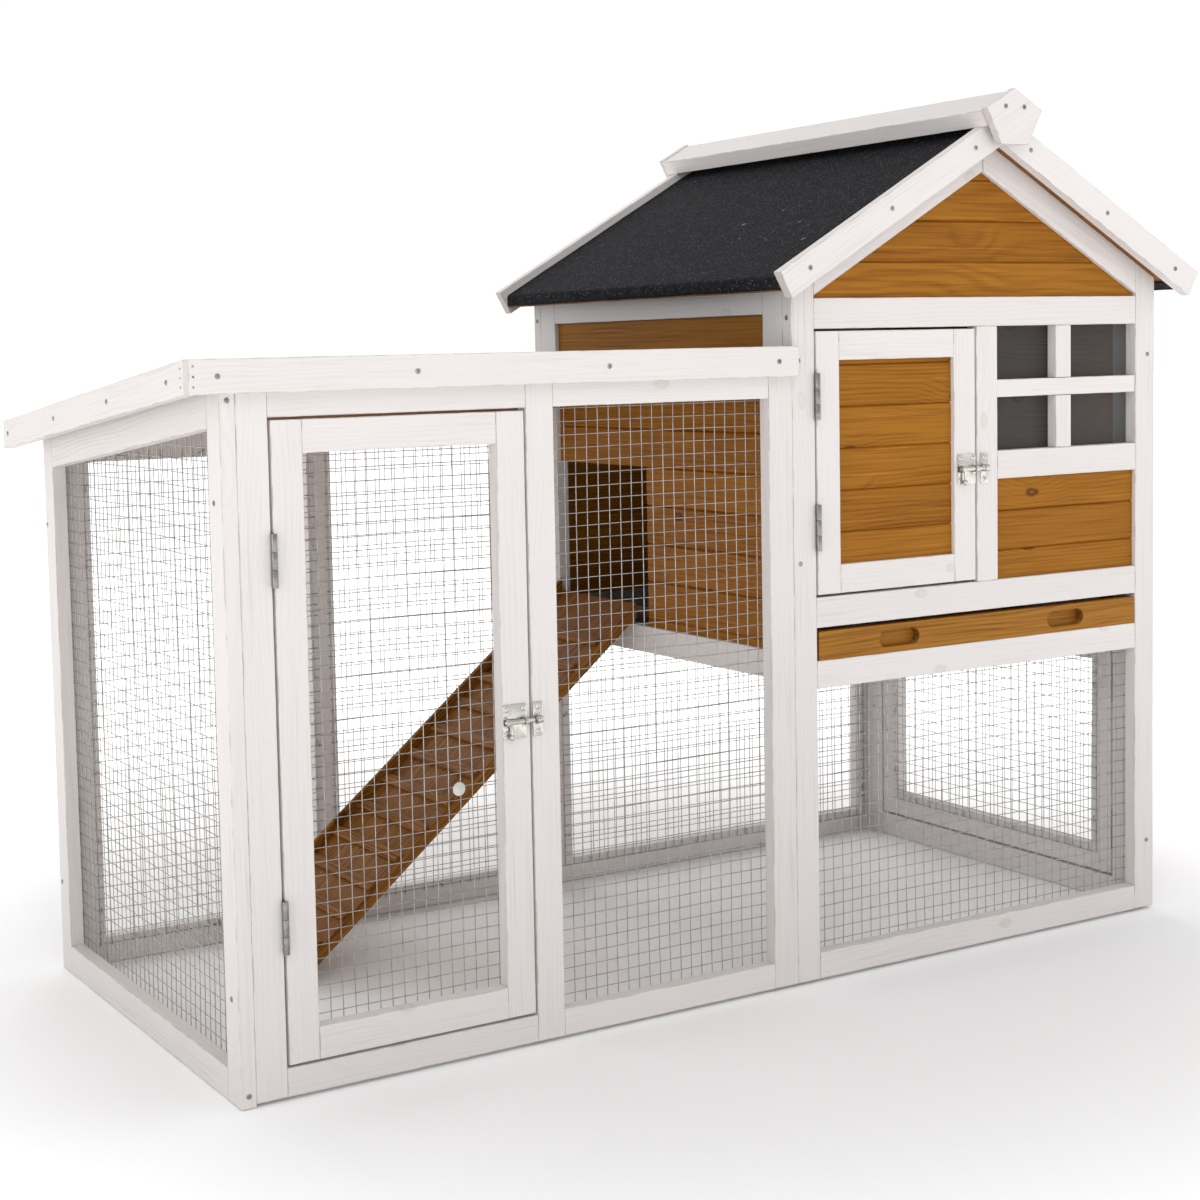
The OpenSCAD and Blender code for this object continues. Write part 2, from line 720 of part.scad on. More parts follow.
// Square-ended boards on both gables
module barge_boards() color("whitesmoke") place()
    for (y = [-barge_out, depth + barge_out - roof_t], side = [-1, 1]) along_y(y, y + roof_t) {
        drop = barge_w * plumb;
        tip_x = house_xc + side * barge_half;
        tip_z = house_under(tip_x) + barge_top;
        top_x = house_xc + side * (barge_w * sin(pitch) + slit / 2);
        polygon([
            [tip_x, tip_z],
            [tip_x - side * barge_w * sin(pitch), tip_z - barge_w * cos(pitch)],
            [house_xc + side * slit / 2, house_under(house_xc + side * slit / 2) + barge_top - drop],
            [top_x, house_under(top_x) + barge_top]
        ]);
    }

// Two boards that meet over the ridge and rest on the barge boards
module ridge_cap() color("whitesmoke") place()
    for (side = [-1, 1]) along_y(head_t - head_out, depth + head_out - head_t) {
        low = house_xc + side * (cap_half - cap_t * sin(pitch));
        corner_z = cap_rest + cap_t * plumb - cap_half * rise;
        polygon([
            [house_xc + side * slit / 2, cap_rest + cap_t * plumb],
            [house_xc + side * cap_half, corner_z],
            [low, corner_z - cap_t * cos(pitch)],
            [house_xc + side * slit / 2, cap_rest]
        ]);
    }

module ridge_heads() color("whitesmoke") place()
    for (y = [-head_out, depth + head_out - head_t]) along_y(y, y + head_t) polygon([
        [house_xc, cap_rest + cap_t * plumb + 2],
        [house_xc + head_half, cap_rest + cap_t * plumb + 2 - head_half * rise],
        [house_xc + head_low_half, head_low], [house_xc - head_low_half, head_low],
        [house_xc - head_half, cap_rest + cap_t * plumb + 2 - head_half * rise]
    ]);

module frame_screws() color("dimgray") place() {
    fascia_z = run_h;
    screws_front(-roof_t, [for (x = [-5, 188, 394, 597]) [x, fascia_z]]);
    screws_front(-roof_t, [for (k = [-1, 0, 1]) [x_low + 4, fascia_z + k * 9]]);
    screws_left(x_low, [for (y = [42, 202, 367, 530]) [y, run_under(y)]]);
    screws_left(x_low, [for (k = [-1, 0, 1]) [8, run_under(8) + k * 8]]);
    screws_left(0, [[18, 538], [15, 97], [depth - 5, 489], [depth - 8, 97]]);
    screws_front(0, [[batten_t / 2, run_h - 21], [batten_t / 2, 11.5]]);
    screws_front(0, [for (z = [441, 649]) [house_x0 + 8.5, z]]);
    screws_front(0, [for (z = [82, 646]) [house_x1 - 11, z]]);
    screws_left(house_x0, [[depth - 7, 701], [8, 693]]);
    for (side = [-1, 1], d = [39.5, 154, 261]) {
        x = house_xc + side * d;
        screws_front(-barge_out, [[x, house_under(x) + barge_top - barge_w * plumb / 2]]);
    }
    screws_front(-head_out, [for (side = [-1, 1]) [house_xc + side * 13, cap_rest + 3]]);
}

// ---- hinges and catches on the frames ----

module fixed_hinge_leaves() color("silver") place() {
    run_hinges() fixed_leaf();
    house_hinges() fixed_leaf();
    side_hinges() fixed_leaf();
}

module bolt_keepers() color("silver") place()
    for (spot = [run_bolt, house_bolt]) at_bolt(spot) bolt_keeper();

module at_button() on_right_wall() translate([button_y, 0, button_z]) children();

// A turn button, upright and clear of the side door while it is off
module side_door_button() color("silver") place() at_button() {
    translate([-6, -5, -10]) cube([12, 4, 10 + button_arm]);
    rotate([90, 0, 0]) cylinder(r = 4, h = 6.5);
    translate([0, batten_t - 3, 0]) rotate([90, 0, 0]) cylinder(r = button_shaft_r, h = batten_t);
}

// ---- run door ----

module run_door_stiles() color("whitesmoke") place()
    for (x = [run_door_x0, run_door_x1 - batten_w])
        bar([x, 0, run_door_z0], [x + batten_w, batten_t, run_door_z1]);

module run_door_rails() color("whitesmoke") place()
    for (z = [run_door_z0, run_door_z1 - batten_w])
        bar([run_door_x0 + batten_w, 0, z], [run_door_x1 - batten_w, batten_t, z + batten_w]);

module run_door_mesh() color("silver") place()
    mesh_xz(run_door_x0 + batten_w - mesh_lap, run_door_x1 - batten_w + mesh_lap,
        run_door_z0 + batten_w - mesh_lap, run_door_z1 - batten_w + mesh_lap, batten_t);

module run_door_hinge_leaves() color("silver") place() run_hinges() door_leaf();

module run_bolt_plate() color("silver") place() at_bolt(run_bolt) bolt_plate();

module run_bolt_rod() color("silver") place() at_bolt(run_bolt) bolt_rod();

// A small disc wired to the door's mesh
module mesh_button() color("white") place()
    translate([234, batten_t, 256]) rotate([90, 0, 0]) cylinder(r = 6.5, h = 1.5);

// ---- house door ----

module house_door_stiles() color("whitesmoke") place()
    for (x = [house_door_x0, house_door_x1 - batten_w])
        bar([x, 0, house_door_z0], [x + batten_w, batten_t, house_door_z1]);

module house_door_rails() color("whitesmoke") place()
    for (z = [house_door_z0, house_door_z1 - batten_w])
        bar([house_door_x0 + batten_w, 0, z], [house_door_x1 - batten_w, batten_t, z + batten_w]);

module house_door_boards() color("peru") place()
    translate([house_door_x0 + batten_w, recess, house_door_z0 + batten_w])
        boards(house_door_w - 2 * batten_w, house_door_z1 - house_door_z0 - 2 * batten_w, 33);

module house_door_hinge_leaves() color("silver") place() house_hinges() door_leaf();

module house_bolt_plate() color("silver") place() at_bolt(house_bolt) bolt_plate();

module house_bolt_rod() color("silver") place() at_bolt(house_bolt) bolt_rod();

// ---- side door, in the right wall under the sleeping floor ----

module side_door_stiles() color("whitesmoke") place()
    for (y = [side_door_y0, side_door_y1 - batten_w])
        bar([wall_x, y, side_door_z0], [house_x1, y + batten_w, side_door_z1]);

module side_door_rails() color("whitesmoke") place()
    for (z = [side_door_z0, side_door_z1 - batten_w])
        bar([wall_x, side_door_y0 + batten_w, z], [house_x1, side_door_y1 - batten_w, z + batten_w]);

module side_door_mesh() color("silver") place()
    mesh_yz(side_door_y0 + batten_w - mesh_lap, side_door_y1 - batten_w + mesh_lap,
        side_door_z0 + batten_w - mesh_lap, side_door_z1 - batten_w + mesh_lap, wall_x - wire_t);

module side_door_hinge_leaves() color("silver") place() side_hinges() door_leaf();

// ---- tray ----

// Two layers: a face with the finger slots, and a plain board that backs them
module tray_front() color("burlywood") place() {
    tray_front_layer(0, tray_face_t - slit) for (side = [-1, 1])
        translate([tray_mid + side * tray_grip_gap / 2, tray_front_z + tray_front_h / 2]) {
            flat = (tray_grip_l - tray_grip_h) / 2;
            square([2 * flat, tray_grip_h], center = true);
            for (end = [-flat, flat]) translate([end, 0]) circle(d = tray_grip_h);
        }
    tray_front_layer(tray_face_t, batten_t);
}

// One layer between two depths, less the outlines of its slots
module tray_front_layer(y0, y1) difference() {
    bar([tray_x0, y0, tray_front_z], [tray_x1, y1, tray_front_z + tray_front_h]);
    along_y(y0 - 1, y1 + 1) children();
}

// An open pan fixed to the back of the front board
module tray_pan() color("silver") place() difference() {
    bar([tray_pan_x0, batten_t, tray_front_z], [tray_pan_x1, tray_y1, tray_front_z + tray_rim_h]);
    bar([tray_pan_x0 + tray_wall, batten_t + tray_wall, tray_front_z + tray_wall],
        [tray_pan_x1 - tray_wall, tray_y1 - tray_wall, tray_front_z + tray_rim_h + 1]);
}

run_end_stiles();
run_end_rails();
run_end_mesh();
run_front_stiles();
run_front_rails();
run_front_mesh();
run_back_stiles();
run_back_rails();
run_back_mesh();
run_roof_boards();
run_roof_felt();
run_fascia();
run_barge_board();
ramp_board();
ramp_cleats();
ramp_hooks();
house_front_stiles();
house_front_rails();
house_front_boards();
house_mesh();
window_bars();
window_pane();
left_wall_stiles();
left_wall_rails();
left_wall_boards();
right_wall_stiles();
right_wall_rails();
right_wall_boards();
back_wall_stiles();
back_wall_rails();
back_wall_boards();
tray_runners();
house_roof_boards();
house_roof_felt();
barge_boards();
ridge_cap();
ridge_heads();
frame_screws();
fixed_hinge_leaves();
bolt_keepers();
run_door_stiles();
run_door_rails();
run_door_mesh();
run_door_hinge_leaves();
run_bolt_plate();
run_bolt_rod();
house_door_stiles();
house_door_rails();
house_door_boards();
house_door_hinge_leaves();
house_bolt_plate();
house_bolt_rod();
side_door_stiles();
side_door_rails();
side_door_mesh();
side_door_hinge_leaves();
side_door_button();
tray_front();
tray_pan();
mesh_button();
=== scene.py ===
"""A wooden rabbit hutch with a gabled house and a meshed run: its looks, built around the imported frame."""

import json
import logging
import math
import random
from collections.abc import Iterable
from dataclasses import dataclass
from enum import Enum

import bmesh
import bpy
from mathutils import Matrix, Vector, noise


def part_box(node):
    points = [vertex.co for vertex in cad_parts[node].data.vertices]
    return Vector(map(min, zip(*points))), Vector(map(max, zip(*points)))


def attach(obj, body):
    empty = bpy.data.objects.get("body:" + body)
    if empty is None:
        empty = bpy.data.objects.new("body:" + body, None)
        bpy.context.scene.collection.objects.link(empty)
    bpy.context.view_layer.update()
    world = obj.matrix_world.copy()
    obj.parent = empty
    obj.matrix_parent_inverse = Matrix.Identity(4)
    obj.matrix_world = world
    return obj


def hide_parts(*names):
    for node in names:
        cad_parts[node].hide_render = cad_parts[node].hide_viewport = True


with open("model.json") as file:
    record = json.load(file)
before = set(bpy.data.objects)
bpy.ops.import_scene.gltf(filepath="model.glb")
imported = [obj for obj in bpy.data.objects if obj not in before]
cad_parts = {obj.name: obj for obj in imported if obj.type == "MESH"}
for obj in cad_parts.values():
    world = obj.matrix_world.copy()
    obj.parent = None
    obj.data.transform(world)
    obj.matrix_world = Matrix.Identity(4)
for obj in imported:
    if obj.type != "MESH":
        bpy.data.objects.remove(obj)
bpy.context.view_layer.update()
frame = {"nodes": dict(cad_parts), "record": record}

MM = 0.001
SLOTS = {part["node"]: part["material_slot"] for part in frame["record"]["subparts"]}
BODY_OF = {node: body for body, nodes in frame["record"]["behaviour"]["bodies"].items() for node in nodes}
Socket = bpy.types.NodeSocket
Triple = tuple[float, float, float]
Colour = Triple
Range = tuple[float, float]
HINGE_PAINTED_SHADE_FINISH = "hinge_steel_with_painted_shade"
FELT_T = 2 * MM
log = logging.getLogger("hutch")


# ---- node trees ----

class Graph:
    """A node tree under construction, with a short call for each kind of node."""

    def __init__(self, tree: bpy.types.NodeTree) -> None:
        """Start on a tree.

        Args:
            tree: The tree that the calls add nodes to.
        """
        self.tree = tree

    def put(self, socket: Socket, value: object) -> None:
        """Link a socket to another one, or set its constant.

        Args:
            socket: The input to fill.
            value: An output socket, a number, or a colour.
        """
        if isinstance(value, bpy.types.NodeSocket):
            self.tree.links.new(value, socket)
        elif isinstance(value, tuple) and len(value) == 3 and socket.type == "RGBA":
            socket.default_value = (*value, 1.0)
        else:
            socket.default_value = value

    def node(self, kind: str, inputs: dict, **settings: object) -> bpy.types.Node:
        """Add a node.

        Args:
            kind: Blender's type name of the node.
            inputs: Input names or numbers, and what goes in them.
            settings: The node's own options.

        Returns:
            The new node.
        """
        made = self.tree.nodes.new(kind)
        for name, value in settings.items():
            setattr(made, name, value)
        for name, value in inputs.items():
            self.put(made.inputs[name], value)
        return made

    def math(self, operation: str, a: object, b: object = 0.0, clamp: bool = False) -> Socket:
        """Return a Math node's result."""
        return self.node("ShaderNodeMath", {0: a, 1: b}, operation=operation, use_clamp=clamp).outputs[0]

    def times(self, a: object, b: object, clamp: bool = False) -> Socket:
        """Return a product."""
        return self.math("MULTIPLY", a, b, clamp)

    def plus(self, a: object, b: object, clamp: bool = False) -> Socket:
        """Return a sum."""
        return self.math("ADD", a, b, clamp)

    def inverse(self, value: object) -> Socket:
        """Return 1 less a value."""
        return self.math("SUBTRACT", 1.0, value)

    def mix(self, factor: object, a: object, b: object) -> Socket:
        """Return a colour part of the way from a to b."""
        return self.node("ShaderNodeMix", {0: factor, 6: a, 7: b}, data_type="RGBA").outputs[2]

    def between(self, factor: object, a: float, b: float) -> Socket:
        """Return a number part of the way from a to b."""
        return self.node("ShaderNodeMix", {0: factor, 2: a, 3: b}, data_type="FLOAT").outputs[0]

    def step(self, value: object, low: float, high: float) -> Socket:
        """Return 0 below low, 1 above high and a smooth ramp between them."""
        names = {"Value": value, "From Min": low, "From Max": high}
        return self.node("ShaderNodeMapRange", names, interpolation_type="SMOOTHSTEP").outputs[0]

    def stretch(self, vector: object, factors: Triple) -> Socket:
        """Return a vector scaled along each axis."""
        return self.node("ShaderNodeVectorMath", {0: vector, 1: factors}, operation="MULTIPLY").outputs[0]

    def noise(self, vector: object, scale: float = 1.0, detail: float = 3.0) -> Socket:
        """Return a smooth random value over space."""
        names = {"Vector": vector, "Scale": scale, "Detail": detail}
        return self.node("ShaderNodeTexNoise", names).outputs[0]

    def cells(self, vector: object, scale: float = 1.0, flat: bool = False) -> tuple[Socket, Socket]:
        """Scatter random points.

        Args:
            vector: The place on the surface.
            scale: Points per unit of length.
            flat: Whether the third axis is left out, so that each point runs right through.

        Returns:
            The distance to the nearest point, and that point's own random value.
        """
        kind = "2D" if flat else "3D"
        made = self.node("ShaderNodeTexVoronoi", {"Vector": vector, "Scale": scale}, voronoi_dimensions=kind)
        luck = self.node("ShaderNodeSeparateColor", {0: made.outputs["Color"]}).outputs[0]
        return made.outputs["Distance"], luck

    def place(self) -> Socket:
        """Return the place on the surface in the hutch's own axes."""
        return self.node("ShaderNodeTexCoord", {}).outputs["Object"]

    def attribute(self, name: str, output: str = "Fac") -> Socket:
        """Return a named value stored on the mesh."""
        return self.node("ShaderNodeAttribute", {}, attribute_name=name).outputs[output]

    def bump(self, height: object, depth: float, strength: float = 1.0) -> Socket:
        """Return a normal that follows a height of the given depth in metres."""
        names = {"Height": height, "Distance": depth, "Strength": strength}
        return self.node("ShaderNodeBump", names).outputs[0]

    def use(self, effect: bpy.types.NodeTree, **inputs: object) -> dict[str, Socket]:
        """Place a shared effect.

        Args:
            effect: The node group.
            inputs: Its inputs by name.

        Returns:
            Its outputs by name.
        """
        made = self.tree.nodes.new("ShaderNodeGroup")
        made.node_tree = effect
        for name, value in inputs.items():
            self.put(made.inputs[name], value)
        return {out.name: out for out in made.outputs}


@dataclass(frozen=True)
class Softwood:
    """What shows in sawn softwood: repeats per metre along, across and through a piece, and thresholds."""

    knot_cells: Triple = (8, 15, 15)
    knot_luck: Range = (0.70, 0.73)
    knot_reach: Range = (0.05, 0.5)
    knot_rim: Range = (0.075, 0.12)
    knot_heart: Range = (0.03, 0.08)
    knot_bend: float = 0.012
    swirl: Triple = (2.6, 11, 11)
    swirl_bend: float = 0.052
    ring_wave: float = 1250.0
    fade: Triple = (3, 25, 25)
    streaks: Triple = (9, 430, 430)
    pale: Triple = (6, 260, 260)
    pores: Triple = (40, 1600, 1600)


class Effects:
    """The effects that several finishes share, each a node group built once."""

    def __init__(self) -> None:
        """Build every group."""
        self.grain = self._grain(Softwood())
        self.wear = self._wear()
        self.mottle = self._mottle()
        self.speckle = self._speckle()

    @staticmethod
    def _group(name: str, inputs: dict[str, str], outputs: list[str]) -> tuple[Graph, dict, dict]:
        """Make an empty group.

        Args:
            name: The group's name.
            inputs: Each input's name and kind, Vector or Float.
            outputs: The names of its Float outputs.

        Returns:
            The group's graph, its inputs by name and the sockets that take its outputs.
        """
        tree = bpy.data.node_groups.new(name, "ShaderNodeTree")
        for label, kind in inputs.items():
            tree.interface.new_socket(label, in_out="INPUT", socket_type=f"NodeSocket{kind}")
        for label in outputs:
            tree.interface.new_socket(label, in_out="OUTPUT", socket_type="NodeSocketFloat")
        start = tree.nodes.new("NodeGroupInput")
        end = tree.nodes.new("NodeGroupOutput")
        return Graph(tree), {s.name: s for s in start.outputs}, {s.name: s for s in end.inputs}

    def _grain(self, wood: Softwood) -> bpy.types.NodeTree:
        """Growth rings, fine streaks and knots along the first axis of a piece of timber.

        Args:
            wood: The scales of what shows in the wood.

        Returns:
            The group.
        """
        g, given, out = self._group("timber grain", {"Vector": "Vector", "Knots": "Float"},
                                    ["Ring", "Streak", "Pale", "Knot", "Height"])
        place = given["Vector"]
        distance, luck = g.cells(g.stretch(place, wood.knot_cells), flat=True)
        rare = g.times(g.step(luck, *wood.knot_luck), given["Knots"])
        near = g.times(g.inverse(g.step(distance, *wood.knot_reach)), rare)
        ragged = g.plus(distance, g.times(g.noise(place, 160, 2), 0.05))
        knot = g.times(g.inverse(g.step(ragged, *wood.knot_rim)), rare)
        knot = g.times(knot, g.between(g.step(ragged, *wood.knot_heart), 0.5, 1.0))
        swirl = g.noise(g.stretch(place, wood.swirl), 1.0, 2.0)
        across = g.node("ShaderNodeSeparateXYZ", {0: place}).outputs
        bend = g.plus(g.times(swirl, wood.swirl_bend), g.times(near, wood.knot_bend))
        depth = g.plus(across[1], g.times(across[2], 0.4))
        wave = g.math("SINE", g.times(g.plus(depth, bend), wood.ring_wave))
        ring = g.math("POWER", g.plus(g.times(wave, 0.5), 0.5), 1.7)
        faded = g.times(ring, g.step(g.noise(g.stretch(place, wood.fade)), 0.3, 0.62))
        streak = g.noise(g.stretch(place, wood.streaks), 1.0, 5.0)
        pores = g.noise(g.stretch(place, wood.pores), 1.0, 2.0)
        height = g.plus(g.times(faded, 0.5), g.times(streak, 0.8))
        height = g.plus(height, g.times(pores, 0.5))
        g.put(out["Ring"], faded)
        g.put(out["Streak"], streak)
        g.put(out["Pale"], g.step(g.noise(g.stretch(place, wood.pale)), 0.62, 0.72))
        g.put(out["Knot"], knot)
        g.put(out["Height"], g.math("SUBTRACT", height, g.times(knot, 0.7)))
        return g.tree

    def _wear(self) -> bpy.types.NodeTree:
        """Rubbed arrises: where an edge mask and a broken noise meet."""
        inputs = {"Vector": "Vector", "Edge": "Float", "Amount": "Float"}
        g, given, out = self._group("edge wear", inputs, ["Mask"])
        broken = g.step(g.noise(g.stretch(given["Vector"], (45, 90, 90)), 1.0, 4.0), 0.42, 0.64)
        g.put(out["Mask"], g.times(g.times(broken, given["Edge"]), given["Amount"], True))
        return g.tree

    def _mottle(self) -> bpy.types.NodeTree:
        """Slow unevenness of a coat, with a finer cloud over it."""
        g, given, out = self._group("mottle", {"Vector": "Vector"}, ["Slow", "Fine"])
        g.put(out["Slow"], g.noise(given["Vector"], 7.0, 2.0))
        g.put(out["Fine"], g.noise(given["Vector"], 95.0, 4.0))
        return g.tree

    def _speckle(self) -> bpy.types.NodeTree:
        """Small grains, some of them bright."""
        g, given, out = self._group("speckle", {"Vector": "Vector", "Scale": "Float"}, ["Bright", "Height"])
        distance, luck = g.cells(given["Vector"], given["Scale"])
        g.put(out["Height"], g.inverse(g.step(distance, 0.1, 0.6)))
        g.put(out["Bright"], g.times(g.step(luck, 0.90, 0.97), g.step(distance, 0.5, 0.2)))
        return g.tree


# ---- finishes ----

def finish_tree(name: str) -> tuple[bpy.types.Material, Graph, bpy.types.Node]:
    """Make a material with one Principled BSDF.

    Args:
        name: The material's name.

    Returns:
        The material, its graph and its Principled BSDF.
    """
    material = bpy.data.materials.new(name)
    material.use_nodes = True
    return material, Graph(material.node_tree), material.node_tree.nodes["Principled BSDF"]


@dataclass(frozen=True)
class Paint:
    """Thin white paint that lets the grain show."""

    name: str = "white paint"
    coat: Colour = (0.725, 0.692, 0.676)
    thin: Colour = (0.585, 0.535, 0.520)
    bare: Colour = (0.38, 0.30, 0.235)
    gloss: float = 0.25
    roughness: Range = (0.42, 0.62)

    def material(self, effects: Effects) -> bpy.types.Material:
        """Build the finish.

        Args:
            effects: The shared effects.

        Returns:
            The material.
        """
        material, g, shader = finish_tree(self.name)
        place = g.attribute("grain", "Vector")
        tone = g.attribute("tone")
        grain = g.use(effects.grain, Vector=place, Knots=0.55)
        mottle = g.use(effects.mottle, Vector=place)
        wear = g.use(effects.wear, Vector=place, Edge=g.attribute("edge"), Amount=0.5)
        streak = g.step(grain["Streak"], 0.46, 0.72)
        show = g.times(streak, g.step(mottle["Slow"], 0.30, 0.75))
        show = g.plus(g.times(show, 0.55), g.times(grain["Ring"], 0.16))
        colour = g.mix(g.plus(show, g.times(tone, 0.22), True), self.coat, self.thin)
        colour = g.mix(g.times(grain["Knot"], 0.42), colour, self.bare)
        colour = g.mix(wear["Mask"], colour, self.bare)
        colour = g.mix(g.times(g.attribute("end"), 0.30), colour, self.bare)
        g.put(shader.inputs["Base Color"], colour)
        g.put(shader.inputs["Roughness"], g.between(mottle["Fine"], *self.roughness))
        g.put(shader.inputs["Normal"], g.bump(grain["Height"], 0.00022, 0.7))
        shader.inputs["Specular IOR Level"].default_value = self.gloss
        return material


@dataclass(frozen=True)
class Stain:
    """Clear brown stain on softwood."""

    name: str
    early: Colour
    late: Colour
    knot: Colour
    ring: float = 0.34
    knots: float = 1.0
    roughness: Range = (0.40, 0.62)
    gloss: float = 0.11

    def material(self, effects: Effects) -> bpy.types.Material:
        """Build the finish.

        Args:
            effects: The shared effects.

        Returns:
            The material.
        """
        material, g, shader = finish_tree(self.name)
        place = g.attribute("grain", "Vector")
        grain = g.use(effects.grain, Vector=place, Knots=self.knots)
        mottle = g.use(effects.mottle, Vector=place)
        wear = g.use(effects.wear, Vector=place, Edge=g.attribute("edge"), Amount=0.35)
        dark = g.times(grain["Ring"], self.ring)
        dark = g.plus(dark, g.times(g.step(grain["Streak"], 0.43, 0.68), 0.42))
        dark = g.plus(dark, g.times(g.step(mottle["Slow"], 0.35, 0.75), 0.12))
        dark = g.plus(dark, g.times(g.attribute("tone"), 0.28), True)
        colour = g.mix(dark, self.early, self.late)
        pale = (min(1.0, 1.45 * part) for part in self.early)
        colour = g.mix(g.times(grain["Pale"], 0.45), colour, tuple(pale))
        colour = g.mix(g.times(grain["Knot"], 0.8), colour, self.knot)
        colour = g.mix(g.times(g.attribute("end"), 0.45), colour, self.knot)
        colour = g.mix(wear["Mask"], colour, self.early)
        g.put(shader.inputs["Base Color"], colour)
        g.put(shader.inputs["Roughness"], g.between(mottle["Fine"], *self.roughness))
        g.put(shader.inputs["Normal"], g.bump(grain["Height"], 0.00025, 0.8))
        shader.inputs["Specular IOR Level"].default_value = self.gloss
        return material


@dataclass(frozen=True)
class Felt:
    """Mineral granules on bitumen felt."""

    name: str = "roofing felt"
    base: Colour = (0.0065, 0.0068, 0.0085)
    grey: Colour = (0.017, 0.0175, 0.021)
    fleck: Colour = (0.55, 0.55, 0.56)

    def material(self, effects: Effects) -> bpy.types.Material:
        """Build the finish.

        Args:
            effects: The shared effects.

        Returns:
            The material.
        """
        material, g, shader = finish_tree(self.name)
        place = g.place()
        fine = g.use(effects.speckle, Vector=place, Scale=900.0)
        coarse = g.use(effects.speckle, Vector=place, Scale=130.0)
        mottle = g.use(effects.mottle, Vector=place)
        colour = g.mix(g.step(mottle["Fine"], 0.35, 0.7), self.base, self.grey)
        colour = g.mix(g.times(fine["Bright"], 0.55), colour, self.fleck)
        scuffed = g.times(coarse["Bright"], g.step(mottle["Slow"], 0.62, 0.72))
        colour = g.mix(g.times(scuffed, 0.5), colour, self.fleck)
        g.put(shader.inputs["Base Color"], colour)
        g.put(shader.inputs["Roughness"], g.between(mottle["Fine"], 0.80, 0.98))
        g.put(shader.inputs["Normal"], g.bump(fine["Height"], 0.0006, 0.9))
        shader.inputs["Specular IOR Level"].default_value = 0.15
        return material


@dataclass(frozen=True)
class Metal:
    """Zinc-plated steel, from bright pressed plate to dull wire."""

    name: str
    base: Colour
    dull: Colour
    roughness: Range
    spangle: float = 60.0
    patches: float = 0.7

    def material(self, effects: Effects) -> bpy.types.Material:
        """Build the finish.

        Args:
            effects: The shared effects.

        Returns:
            The material.
        """
        material, g, shader = finish_tree(self.name)
        place = g.place()
        mottle = g.use(effects.mottle, Vector=place)
        crystal = g.use(effects.speckle, Vector=place, Scale=self.spangle)
        tarnish = g.times(g.step(mottle["Fine"], 0.40, 0.72), self.patches)
        tarnish = g.plus(tarnish, g.times(crystal["Height"], 0.25), True)
        g.put(shader.inputs["Base Color"], g.mix(tarnish, self.base, self.dull))
        g.put(shader.inputs["Roughness"], g.between(tarnish, *self.roughness))
        g.put(shader.inputs["Normal"], g.bump(mottle["Fine"], 0.00008, 0.6))
        shader.inputs["Metallic"].default_value = 1.0
        return material


@dataclass(frozen=True)
class Pane:
    """A thin plastic window pane, slightly hazy and dusty, tinted dark grey as painted shade of the unlit
    inside of the house.
    """

    name: str = "hazy pane with painted shade"
    painted_shade_tint: Colour = (0.115, 0.115, 0.117)
    alpha: float = 0.25

    def material(self, effects: Effects) -> bpy.types.Material:
        """Build the finish.

        Args:
            effects: The shared effects.

        Returns:
            The material.
        """
        material, g, shader = finish_tree(self.name)
        place = g.place()
        mottle = g.use(effects.mottle, Vector=place)
        # painted shade: the dark grey tint darkens the view into the house, standing in for its unlit inside
        g.put(shader.inputs["Base Color"], self.painted_shade_tint)
        g.put(shader.inputs["Alpha"], g.between(mottle["Slow"], self.alpha - 0.04, self.alpha + 0.06))
        g.put(shader.inputs["Roughness"], g.between(mottle["Fine"], 0.10, 0.22))
        shader.inputs["Specular IOR Level"].default_value = 0.3
        return material


@dataclass(frozen=True)
class Plastic:
    """Plain pale plastic."""

    name: str = "pale plastic"
    base: Colour = (0.62, 0.61, 0.57)

    def material(self, effects: Effects) -> bpy.types.Material:
        """Build the finish.

        Args:
            effects: The shared effects.

        Returns:
            The material.
        """
        material, g, shader = finish_tree(self.name)
        mottle = g.use(effects.mottle, Vector=g.place())
        shade = tuple(0.8 * part for part in self.base)
        g.put(shader.inputs["Base Color"], g.mix(g.step(mottle["Fine"], 0.4, 0.7), self.base, shade))
        g.put(shader.inputs["Roughness"], g.between(mottle["Fine"], 0.30, 0.46))
        g.put(shader.inputs["Normal"], g.bump(mottle["Fine"], 0.0001, 0.4))
        return material


